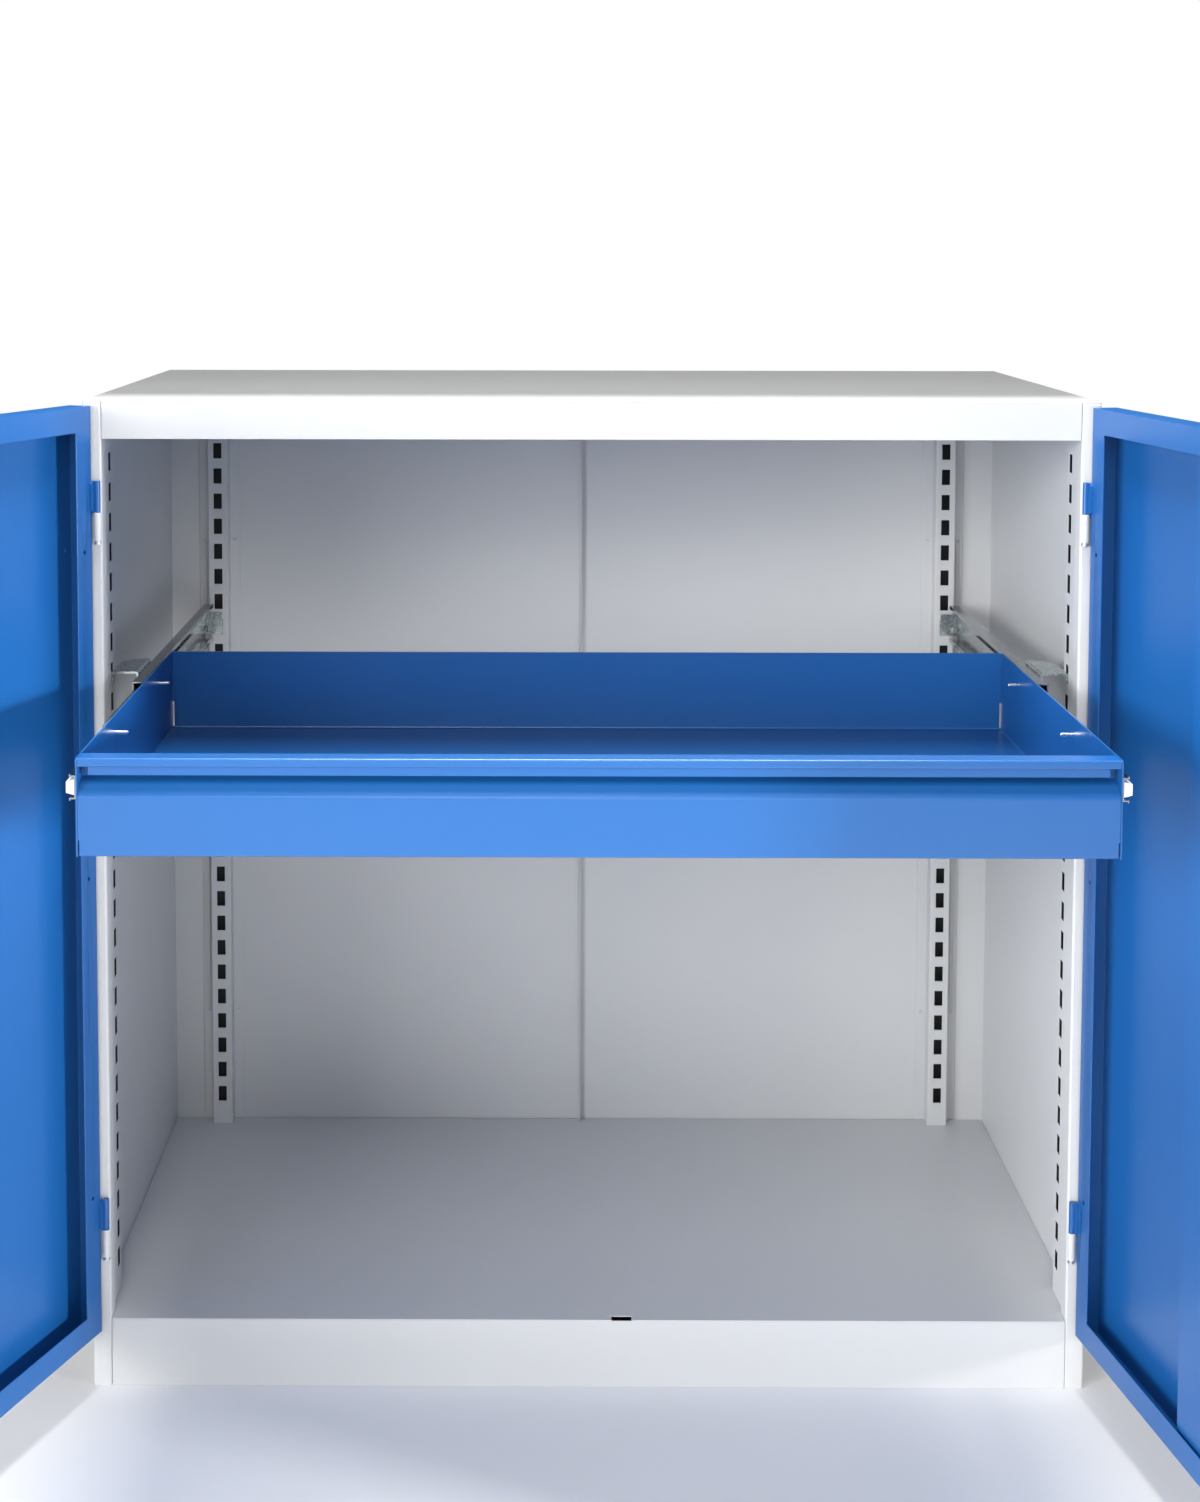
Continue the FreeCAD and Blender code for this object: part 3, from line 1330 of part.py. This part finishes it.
def check_and_write():
    """Stop if an object failed or a shape is broken, then write one STEP file for each sub-part."""
    doc.recompute()
    for thing in doc.Objects:
        if "Invalid" in thing.State or "Error" in thing.State:
            raise ValueError(f"{thing.Name} ({thing.Label}) failed: {thing.State}")
    os.makedirs("parts", exist_ok=True)
    for name, thing in finished.items():
        shape = thing.Shape
        if shape.isNull() or not shape.isValid() or not shape.Solids:
            raise ValueError(f"{name}: its shape is not a valid solid")
        shape.exportStep(f"parts/{name}.step")
    print(f"{len(finished)} sub-parts written")


build()
check_and_write()
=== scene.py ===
import bmesh
import bpy
import math
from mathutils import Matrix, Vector


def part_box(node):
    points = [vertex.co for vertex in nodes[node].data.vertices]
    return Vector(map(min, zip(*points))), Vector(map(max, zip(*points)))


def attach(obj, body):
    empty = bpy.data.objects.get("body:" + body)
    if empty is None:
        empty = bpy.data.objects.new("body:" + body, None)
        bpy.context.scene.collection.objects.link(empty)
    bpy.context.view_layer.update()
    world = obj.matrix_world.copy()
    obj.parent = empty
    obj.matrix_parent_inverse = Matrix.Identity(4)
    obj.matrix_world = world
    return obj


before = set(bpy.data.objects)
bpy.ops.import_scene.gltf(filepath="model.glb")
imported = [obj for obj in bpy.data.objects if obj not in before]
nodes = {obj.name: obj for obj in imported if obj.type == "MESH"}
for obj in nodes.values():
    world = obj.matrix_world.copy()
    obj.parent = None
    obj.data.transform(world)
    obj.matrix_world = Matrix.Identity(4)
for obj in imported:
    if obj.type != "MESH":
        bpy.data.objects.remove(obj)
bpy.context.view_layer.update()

# Carcass. Sides, back, top and floor are folded from steel sheet, spot-welded together and
# powder coated light grey. The coat has a fine orange peel that shows only in the reflections.
SIDES = ("left", "right")
GREY_COAT = (0.62, 0.625, 0.625)
GREY_SHINE = 0.34
SHADE_PATCH = 0.18
GLOSS_PATCH = 0.06
GLOSS_BELOW = 0.01
GLOSS_ABOVE = 0.02
PEEL_SIZE = 0.0022
PEEL_HEIGHT = 0.00006
NOISE_LOW = 0.3
NOISE_HIGH = 0.7
WELD_DISTANCE = 1e-6
EDGE_ANGLE = 50
EDGE_STEPS = 2
FLAT_FACE_WEIGHT = 90
SHEET_EDGE = 0.0005
BACK_EDGE = 0.0004


def material(name):
    """A new material with its shader, node tree and the object's own coordinates."""
    made = bpy.data.materials.new(name)
    made.use_nodes = True
    tree = made.node_tree
    shader = tree.nodes["Principled BSDF"]
    place = tree.nodes.new("ShaderNodeTexCoord").outputs["Object"]
    return made, tree, shader, place


def noise(tree, place, size, detail=2.0, roughness=0.5):
    """Noise whose blobs are about size metres across."""
    node = tree.nodes.new("ShaderNodeTexNoise")
    node.inputs["Scale"].default_value = 1 / size
    node.inputs["Detail"].default_value = detail
    node.inputs["Roughness"].default_value = roughness
    tree.links.new(place, node.inputs["Vector"])
    return node.outputs["Fac"]


def spread(tree, value, low, high):
    """Noise mapped to a range."""
    node = tree.nodes.new("ShaderNodeMapRange")
    node.inputs["From Min"].default_value = NOISE_LOW
    node.inputs["From Max"].default_value = NOISE_HIGH
    node.inputs["To Min"].default_value = low
    node.inputs["To Max"].default_value = high
    tree.links.new(value, node.inputs["Value"])
    return node.outputs["Result"]


def blend_colours(tree, value, first, second):
    """A colour between two, by noise."""
    ramp = tree.nodes.new("ShaderNodeValToRGB")
    low, high = ramp.color_ramp.elements
    low.position = NOISE_LOW
    high.position = NOISE_HIGH
    low.color = (*first, 1)
    high.color = (*second, 1)
    tree.links.new(value, ramp.inputs["Fac"])
    return ramp.outputs["Color"]


def bump(tree, shader, value, height):
    """Raise the surface by up to height metres."""
    node = tree.nodes.new("ShaderNodeBump")
    node.inputs["Strength"].default_value = 1.0
    node.inputs["Distance"].default_value = height
    tree.links.new(value, node.inputs["Height"])
    tree.links.new(node.outputs["Normal"], shader.inputs["Normal"])


def powder_coat(name, colour, shine, shade=0.985, gleam=0.7):
    """Semi-gloss powder coating: orange peel, and a slight unevenness in colour and gloss."""
    made, tree, shader, place = material(name)
    cloud = noise(tree, place, SHADE_PATCH)
    darker = tuple(channel * shade for channel in colour)
    tree.links.new(blend_colours(tree, cloud, darker, colour), shader.inputs["Base Color"])
    patches = noise(tree, place, GLOSS_PATCH, detail=3.0)
    gloss = spread(tree, patches, shine - GLOSS_BELOW, shine + GLOSS_ABOVE)
    tree.links.new(gloss, shader.inputs["Roughness"])
    shader.inputs["Specular IOR Level"].default_value = gleam
    bump(tree, shader, noise(tree, place, PEEL_SIZE, detail=1.0), PEEL_HEIGHT)
    return made


def finish_node(name, coat, edge=SHEET_EDGE):
    """Give a CAD node its finish, soften its cut edges and keep its large faces even."""
    piece = nodes[name]
    piece.data.materials.clear()
    piece.data.materials.append(coat)
    if edge:
        weld = piece.modifiers.new("weld", "WELD")
        weld.merge_threshold = WELD_DISTANCE
        soften = piece.modifiers.new("edge", "BEVEL")
        soften.width = edge
        soften.segments = EDGE_STEPS
        soften.limit_method = "ANGLE"
        soften.angle_limit = math.radians(EDGE_ANGLE)
        even = piece.modifiers.new("even", "WEIGHTED_NORMAL")
        even.weight = FLAT_FACE_WEIGHT
        even.keep_sharp = True


grey_coat = powder_coat("grey powder coat", GREY_COAT, GREY_SHINE)
for side in SIDES:
    finish_node(f"{side}_side_panel", grey_coat)
    finish_node(f"{side}_back_panel", grey_coat, BACK_EDGE)
for name in ("top_cover", "top_front_rail", "floor_pan", "plinth"):
    finish_node(name, grey_coat)

# Slotted posts. Punched and rolled from thicker sheet and coated with the carcass, with the slots
# that shelves and drawer brackets hook into. Riveted to the back, and spot-welded to the sides.
# The punched edges of the front posts' slots carry painted shade, so that the slots look dark.
# Colour of the painted shade, for the slots' punched edges and the strips inside the posts.
POST_SHADE_COLOUR = (0.020, 0.020, 0.021)
POST_SHEET = 0.0015
POST_EDGE = 0.0003
POST_RIVET_EDGE = 0.0002
SLOT_SETBACK = 0.0525
SLOT_HALF = 0.0052
WEB_SKIN = 0.0001


def calculate(tree, operation, first, second=None):
    """A sum in a material; first is a node's output, and second may be left out."""
    node = tree.nodes.new("ShaderNodeMath")
    node.operation = operation
    tree.links.new(first, node.inputs[0])
    if second is not None:
        tree.links.new(second, node.inputs[1])
    return node


def within(tree, value, low, high):
    """1 where a value lies between two others, else 0."""
    compare = calculate(tree, "COMPARE", value)
    compare.inputs[1].default_value = (low + high) / 2
    compare.inputs[2].default_value = (high - low) / 2
    return compare.outputs["Value"]


def punched_coat(name, colour, shine, web_face, slot_place):
    """The carcass's coat, with painted shade on the punched edges of the slots, so that they look
    dark.
    """
    made = powder_coat(name, colour, shine)
    tree = made.node_tree
    coat_colour = tree.nodes["Principled BSDF"].inputs["Base Color"]
    place = next(node for node in tree.nodes if node.type == "TEX_COORD").outputs["Object"]
    axes = tree.nodes.new("ShaderNodeSeparateXYZ")
    tree.links.new(place, axes.inputs["Vector"])
    distance = calculate(tree, "ABSOLUTE", axes.outputs["X"]).outputs["Value"]
    in_sheet = within(tree, distance, web_face + WEB_SKIN, web_face + POST_SHEET)
    in_slot = within(tree, axes.outputs["Y"], slot_place - SLOT_HALF, slot_place + SLOT_HALF)
    # This mask marks the slots' punched edges, which get the painted shade.
    edge = calculate(tree, "MULTIPLY", in_sheet, in_slot).outputs["Value"]
    mix = tree.nodes.new("ShaderNodeMix")
    mix.data_type = "RGBA"
    tree.links.new(edge, mix.inputs["Factor"])
    tree.links.new(coat_colour.links[0].from_socket, mix.inputs["A"])
    mix.inputs["B"].default_value = (*POST_SHADE_COLOUR, 1)
    tree.links.new(mix.outputs["Result"], coat_colour)
    return made


web_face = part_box("front_right_post")[0][0]
slot_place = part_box("right_side_panel")[0][1] + SLOT_SETBACK
post_coat = punched_coat("grey coat of the front posts", GREY_COAT, GREY_SHINE, web_face, slot_place)
for side in SIDES:
    finish_node(f"front_{side}_post", post_coat, POST_EDGE)
    finish_node(f"rear_{side}_post", grey_coat, POST_EDGE)
finish_node("post_rivets", grey_coat, POST_RIVET_EDGE)

# Inner surfaces of the posts. Dark strips of painted shade line the closed folds behind the
# slots, where there is only shade, so that the slots look dark.
POST_SHADE_SHINE = 0.7
POST_SHADE_UNEVENNESS = 0.8
LINING_THICKNESS = 0.0002
LINING_INSET = 0.0018
LINING_GAP = 0.0003
CROWN_INSIDE_HALF = 0.0102
WAVE_TURN = 1.7


def new_piece(name, points, faces):
    """An object made from points and faces, with its faces turned outwards."""
    mesh = bpy.data.meshes.new(name)
    mesh.from_pydata(points, [], faces)
    shape = bmesh.new()
    shape.from_mesh(mesh)
    bmesh.ops.recalc_face_normals(shape, faces=shape.faces)
    shape.to_mesh(mesh)
    shape.free()
    piece = bpy.data.objects.new(name, mesh)
    bpy.context.collection.objects.link(piece)
    return piece


def sheet_strip(name, low, high, lengths=48, waves=0.00003):
    """A thin strip of sheet between two corners, with the slight waves of rolled steel along it."""
    thin = min(range(3), key=lambda axis: high[axis] - low[axis])
    long = max(range(3), key=lambda axis: high[axis] - low[axis])
    wide = 3 - thin - long
    points = []
    faces = []
    for step in range(lengths + 1):
        along = low[long] + (high[long] - low[long]) * step / lengths
        sway = waves * (1 + math.sin(step * WAVE_TURN)) / 2
        for at_thin, at_wide in ((low[thin] + sway, low[wide]), (low[thin] + sway, high[wide]),
                                 (high[thin] - sway, high[wide]), (high[thin] - sway, low[wide])):
            point = [0.0, 0.0, 0.0]
            point[long] = along
            point[thin] = at_thin
            point[wide] = at_wide
            points.append(point)
    for step in range(lengths):
        first = step * 4
        for corner in range(4):
            after = (corner + 1) % 4
            faces.append((first + corner, first + after, first + 4 + after, first + 4 + corner))
    last = lengths * 4
    faces.append((3, 2, 1, 0))
    faces.append((last, last + 1, last + 2, last + 3))
    return new_piece(name, points, faces)


def fit_piece(piece, coat, body):
    """Finish a made piece and let it move with its body."""
    piece.data.materials.append(coat)
    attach(piece, body)


def inside(box, x=LINING_INSET, y=LINING_INSET):
    """The corners of a post's box, moved inwards."""
    low, high = [list(corner) for corner in box]
    for axis, depth in enumerate((x, y, LINING_INSET)):
        low[axis] += depth
        high[axis] -= depth
    return low, high


# Painted shade: dark strips put inside the posts where there is only shade.
painted_post_shade = powder_coat("painted shade in the posts", POST_SHADE_COLOUR, POST_SHADE_SHINE, POST_SHADE_UNEVENNESS)
for side in SIDES:
    low, high = inside(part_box(f"front_{side}_post"), x=LINING_GAP)
    if side == "left":
        high[0] = low[0] + LINING_THICKNESS
    else:
        low[0] = high[0] - LINING_THICKNESS
    lining = sheet_strip(f"front_{side}_post_inside", low, high)
    fit_piece(lining, painted_post_shade, "carcass")

    low, high = inside(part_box(f"front_{side}_post"), y=POST_SHEET + LINING_GAP)
    low[1] = high[1] - LINING_THICKNESS
    lining = sheet_strip(f"front_{side}_post_fold_inside", low, high)
    fit_piece(lining, painted_post_shade, "carcass")

    low, high = inside(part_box(f"rear_{side}_post"), y=LINING_GAP)
    crown_centre = (low[0] + high[0]) / 2
    low[0] = crown_centre - CROWN_INSIDE_HALF
    high[0] = crown_centre + CROWN_INSIDE_HALF
    low[1] = high[1] - LINING_THICKNESS
    lining = sheet_strip(f"rear_{side}_post_inside", low, high)
    fit_piece(lining, painted_post_shade, "carcass")

# Hinges. Lift-off knuckles welded to the carcass and coated with it, bright pins with a turned
# collar, and washers that the doors' lugs ride on.
ZINC = (0.74, 0.77, 0.80)
ZINC_SHINE = 0.30
ZINC_WARMTH = (0.93, 0.92, 0.90)
SPANGLE_HEIGHT = 0.00002
SPANGLE_BRIGHTER = 0.06
SPANGLE_DULLER = 0.08
CLOUD_GRAINS = 4
KNUCKLE_EDGE = 0.0003
PIN_EDGE = 0.0002


def zinc_plate(name, colour, shine, grain_size=0.004):
    """Passivated zinc plating: faintly blue, with cloudy spangle in tint and gloss."""
    made, tree, shader, place = material(name)
    shader.inputs["Metallic"].default_value = 1.0
    cloud = noise(tree, place, grain_size * CLOUD_GRAINS, detail=3.0)
    warmer = tuple(channel * warmth for channel, warmth in zip(colour, ZINC_WARMTH))
    tree.links.new(blend_colours(tree, cloud, warmer, colour), shader.inputs["Base Color"])
    spangle = noise(tree, place, grain_size, detail=4.0, roughness=0.6)
    gloss = spread(tree, spangle, shine - SPANGLE_BRIGHTER, shine + SPANGLE_DULLER)
    tree.links.new(gloss, shader.inputs["Roughness"])
    bump(tree, shader, spangle, SPANGLE_HEIGHT)
    return made


zinc = zinc_plate("zinc plating", ZINC, ZINC_SHINE)
finish_node("hinge_knuckles", grey_coat, KNUCKLE_EDGE)
finish_node("hinge_pins", zinc, PIN_EDGE)
finish_node("hinge_washers", zinc, PIN_EDGE)

# Levelling screws and nuts. Zinc-plated steel, in the plinth's corners. The screws turn in the
# nuts and are reached from above. Their edges are left sharp.
SHARP = 0
NUT_EDGE = 0.0003
finish_node("levelling_screws", zinc, SHARP)
finish_node("levelling_nuts", zinc, NUT_EDGE)

# Doors. Skins folded to trays with lips all round, a hat channel behind each skin, lugs welded
# to the lips, all powder coated blue together; the left door has a strip for the right one to
# shut against.
BLUE_COAT = (0.009, 0.100, 0.326)
BLUE_SHINE = 0.31
SKIN_EDGE = 0.0006
STRIP_EDGE = 0.0004
blue_coat = powder_coat("blue powder coat", BLUE_COAT, BLUE_SHINE, gleam=0.6)
for side in SIDES:
    finish_node(f"{side}_door_panel", blue_coat, SKIN_EDGE)
    finish_node(f"{side}_door_lugs", blue_coat, STRIP_EDGE)
    finish_node(f"{side}_door_stiffener", blue_coat, STRIP_EDGE)
finish_node("left_door_astragal", blue_coat, STRIP_EDGE)

# Handle and lock. A die-cast lever and its plate with a fine textured black coat. The cylinder is
# plated bright, and so are the steel cam and rods of the latch behind the door.
BLACK_COAT = (0.012, 0.012, 0.013)
BLACK_SHINE = 0.42
BLACK_SHADE = 0.8
PLATE_EDGE = 0.0015
LEVER_EDGE = 0.0012
CYLINDER_EDGE = 0.0004
LATCH_EDGE = 0.0003
black_coat = powder_coat("black handle coat", BLACK_COAT, BLACK_SHINE, BLACK_SHADE)
finish_node("handle_plate", black_coat, PLATE_EDGE)
finish_node("handle_lever", black_coat, LEVER_EDGE)
finish_node("lock_cylinder", zinc, CYLINDER_EDGE)
for name in ("latch_cam", "upper_latch_rod", "lower_latch_rod"):
    finish_node(name, zinc, LATCH_EDGE)

# Rod guides. Injection-moulded blocks of white plastic that hold the latch rods, each on a foot
# fixed to the lip at the right door's free edge.
WHITE_PLASTIC = (0.80, 0.80, 0.78)
MOULD_CLOUD = 0.01
MOULD_SHADE = 0.95
MOULD_SHINE = 0.45
MOULD_GLOW = 0.05
GRAIN_SIZE = 0.0006
GRAIN_HEIGHT = 0.00002
MOULDED_EDGE = 0.0006


def moulded_plastic(name, colour):
    """Injection-moulded plastic with a fine spark-eroded grain."""
    made, tree, shader, place = material(name)
    cloud = noise(tree, place, MOULD_CLOUD)
    darker = tuple(channel * MOULD_SHADE for channel in colour)
    tree.links.new(blend_colours(tree, cloud, darker, colour), shader.inputs["Base Color"])
    shader.inputs["Roughness"].default_value = MOULD_SHINE
    shader.inputs["Subsurface Weight"].default_value = MOULD_GLOW
    bump(tree, shader, noise(tree, place, GRAIN_SIZE), GRAIN_HEIGHT)
    return made


white_plastic = moulded_plastic("white plastic", WHITE_PLASTIC)
finish_node("rod_guides", white_plastic, MOULDED_EDGE)

# Drawer. One blue-coated tray: a folded front with a full-width grip recess, sides, back and a
# floor that lies on their feet. Zinc-plated rivet studs join its sides to the inner slides.
TRAY_EDGE = 0.0004
STUD_EDGE = 0.0003
for name in ("drawer_front", "drawer_left_side", "drawer_right_side", "drawer_floor", "drawer_back"):
    finish_node(name, blue_coat, TRAY_EDGE)
finish_node("slide_studs", zinc, STUD_EDGE)

# Folds of the drawer's tray. The sides and the back turn into their feet over a small radius, and
# the coat gathers in that corner as a soft fillet beside the floor.
COAT_FILLET = 0.0022
FILLET_LIFT = 0.00005
FILLET_STEPS = 5


def fillet(name, start, end, across):
    """A hollow quarter-round along an inside corner at the floor; across points into the tray."""
    points = []
    faces = []
    for x, y, z in (start, end):
        points.append((x, y, z))
        for step in range(FILLET_STEPS + 1):
            angle = math.pi / 2 * step / FILLET_STEPS
            out = COAT_FILLET * (1 - math.sin(angle))
            rise = COAT_FILLET * (1 - math.cos(angle))
            points.append((x + across[0] * out, y + across[1] * out, z + rise))
    count = FILLET_STEPS + 2
    for step in range(count):
        after = (step + 1) % count
        faces.append((step, after, count + after, count + step))
    faces.append(tuple(range(count)))
    faces.append(tuple(range(2 * count - 1, count - 1, -1)))
    return new_piece(name, points, faces)


fillet_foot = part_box("drawer_floor")[1][2] + FILLET_LIFT
back_low, back_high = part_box("drawer_back")
tray_rear = back_low[1]
tray_sheet = back_high[1] - back_low[1]
tray_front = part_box("drawer_front")[1][1]
wall_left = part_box("drawer_left_side")[0][0] + tray_sheet
wall_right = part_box("drawer_right_side")[1][0] - tray_sheet
for name, start, end, across in (
        ("drawer_left_fillet", (wall_left, tray_front), (wall_left, tray_rear), (1, 0)),
        ("drawer_right_fillet", (wall_right, tray_front), (wall_right, tray_rear), (-1, 0)),
        ("drawer_back_fillet", (wall_left, tray_rear), (wall_right, tray_rear), (0, -1))):
    rounded = fillet(name, (*start, fillet_foot), (*end, fillet_foot), across)
    fit_piece(rounded, blue_coat, "drawer")

# Telescopic slides. Three roll-formed zinc-plated members on each side run on hardened balls,
# which sit in punched cages. Plastic stops sit in the front ends of the inner members.
BALL_STEEL = (0.80, 0.81, 0.83)
BALL_SHINE = 0.12
# The slides' zinc is painted darker: a painted reflection of the dark surroundings they mirror.
SLIDE_ZINC = (0.34, 0.355, 0.37)
SLIDE_SHINE = 0.20
MEMBER_EDGE = 0.0003
ball_steel = zinc_plate("ball steel", BALL_STEEL, BALL_SHINE)
slide_zinc = zinc_plate("slide zinc darkened as painted reflection", SLIDE_ZINC, SLIDE_SHINE)
for side in SIDES:
    for member in ("outer", "middle", "inner"):
        finish_node(f"{side}_slide_{member}", slide_zinc, MEMBER_EDGE)
    for race in ("outer", "inner"):
        finish_node(f"{side}_{race}_cage", slide_zinc, SHARP)
        finish_node(f"{side}_{race}_balls", ball_steel, SHARP)
finish_node("slide_bumpers", white_plastic, MOULDED_EDGE)

# Brackets. Front brackets and rear clips, bent from zinc-plated sheet, riveted to the slides and
# hooked into the posts' slots.
BRACKET_ZINC = (0.50, 0.56, 0.56)
BRACKET_SHINE = 0.24
BRACKET_EDGE = 0.0004
BRACKET_RIVET_EDGE = 0.0003
bracket_zinc = zinc_plate("bracket zinc", BRACKET_ZINC, BRACKET_SHINE)
for side in SIDES:
    finish_node(f"front_{side}_bracket", bracket_zinc, BRACKET_EDGE)
    finish_node(f"rear_{side}_clip", bracket_zinc, BRACKET_EDGE)
finish_node("bracket_rivets", zinc, BRACKET_RIVET_EDGE)

# Studio floor and backdrop. A plain pale matt floor and a white backdrop. The room around them
# lights the cabinet only a little.
FLOOR_HALF = 6.0
FLOOR_PAINT = (0.86, 0.86, 0.86)
FLOOR_ROUGHNESS = 0.9
ROOM_LIGHT = 0.08
WHITE = (1, 1, 1, 1)
floor_corners = [(-FLOOR_HALF, -FLOOR_HALF, 0), (FLOOR_HALF, -FLOOR_HALF, 0),
                 (FLOOR_HALF, FLOOR_HALF, 0), (-FLOOR_HALF, FLOOR_HALF, 0)]
floor_mesh = bpy.data.meshes.new("floor")
floor_mesh.from_pydata(floor_corners, [], [(0, 1, 2, 3)])
floor = bpy.data.objects.new("floor", floor_mesh)
bpy.context.collection.objects.link(floor)
floor_paint, _, floor_shader, _ = material("floor")
floor_shader.inputs["Base Color"].default_value = (*FLOOR_PAINT, 1)
floor_shader.inputs["Roughness"].default_value = FLOOR_ROUGHNESS
floor_mesh.materials.append(floor_paint)

world = bpy.data.worlds.new("studio")
bpy.context.scene.world = world
world.use_nodes = True
studio = world.node_tree
room = studio.nodes["Background"]
room.inputs["Color"].default_value = WHITE
room.inputs["Strength"].default_value = ROOM_LIGHT
backdrop = studio.nodes.new("ShaderNodeBackground")
backdrop.inputs["Color"].default_value = WHITE
seen = studio.nodes.new("ShaderNodeLightPath")
choose = studio.nodes.new("ShaderNodeMixShader")
studio.links.new(seen.outputs["Is Camera Ray"], choose.inputs["Fac"])
studio.links.new(room.outputs["Background"], choose.inputs[1])
studio.links.new(backdrop.outputs["Background"], choose.inputs[2])
studio.links.new(choose.outputs["Shader"], studio.nodes["World Output"].inputs["Surface"])

# Studio lights. Soft light mostly from the front left, with some from the front, the right and
# above. Three scrims stand between the lights and the outside of the carcass, so that its sides
# and top keep their tone.
SCRIM_CLOTH = (0.3, 0.3, 0.3)
SCRIM_ROUGHNESS = 1.0
SCRIM_PASSES = 0.25


def softbox(name, place, target, size, power):
    """A square area light that faces a point."""
    lamp = bpy.data.lights.new(name, "AREA")
    lamp.size = size
    lamp.energy = power
    holder = bpy.data.objects.new(name, lamp)
    bpy.context.collection.objects.link(holder)
    holder.location = place
    holder.rotation_euler = (Vector(target) - Vector(place)).to_track_quat("-Z", "Y").to_euler()


def scrim(name, low, high):
    """A flat sheet of net between two corners that lets part of the light through."""
    first, second = [axis for axis in range(3) if high[axis] > low[axis]]
    corners = []
    for first_end, second_end in ((low, low), (high, low), (high, high), (low, high)):
        corner = list(low)
        corner[first] = first_end[first]
        corner[second] = second_end[second]
        corners.append(corner)
    net = new_piece(name, corners, [(0, 1, 2, 3)])
    cloth, _, shader, _ = material(name)
    shader.inputs["Base Color"].default_value = (*SCRIM_CLOTH, 1)
    shader.inputs["Roughness"].default_value = SCRIM_ROUGHNESS
    shader.inputs["Alpha"].default_value = 1 - SCRIM_PASSES
    net.data.materials.append(cloth)
    net.visible_camera = False
    net.visible_glossy = False


scrim("right scrim", (1.5, -1.06, 0.0), (1.5, 0.6, 1.6))
scrim("left scrim", (-1.5, -1.0, 0.0), (-1.5, 0.8, 1.9))
scrim("top scrim", (-0.9, -0.2, 1.15), (0.9, 0.6, 1.15))
for name, place, target, size, power in (
        ("key", (-3.6, -5.0, 1.8), (0.2, 0, 0.7), 2.2, 195),
        ("left fill", (-5.2, -3.6, 1.35), (0.2, 0, 0.7), 2.2, 250),
        ("front fill", (0.4, -5.2, 1.9), (0, 0, 0.7), 2.0, 38),
        ("right fill", (3.2, -1.87, 0.8), (-0.6, -0.5, 0.6), 0.3, 165),
        ("overhead", (0.0, -0.35, 3.0), (0.0, -0.4, 0.7), 1.2, 130),
        ("high front", (-0.3, -3.4, 3.2), (0.0, -0.4, 0.7), 1.0, 30)):
    softbox(name, place, target, size, power)

# Camera. It stands in front, a little higher than the cabinet's top, and looks slightly down. A
# shift of the sensor keeps the photograph's framing without more tilt. Its angles are in degrees.
CAMERA_PLACE = (-0.04981, -2.2467, 1.15664)
CAMERA_ANGLES = (86.2525, -0.0824, 0.252)
LENS = 49.232
SENSOR = 36
SHIFT_ACROSS = 0.04556
SHIFT_UP = -0.25
FAR_CLIP = 50
camera_data = bpy.data.cameras.new("camera")
camera = bpy.data.objects.new("camera", camera_data)
bpy.context.collection.objects.link(camera)
camera.location = CAMERA_PLACE
camera.rotation_euler = [math.radians(angle) for angle in CAMERA_ANGLES]
camera_data.lens = LENS
camera_data.sensor_width = SENSOR
camera_data.shift_x = SHIFT_ACROSS
camera_data.shift_y = SHIFT_UP
camera_data.clip_end = FAR_CLIP
bpy.context.scene.camera = camera
bpy.context.scene.view_settings.view_transform = "Standard"
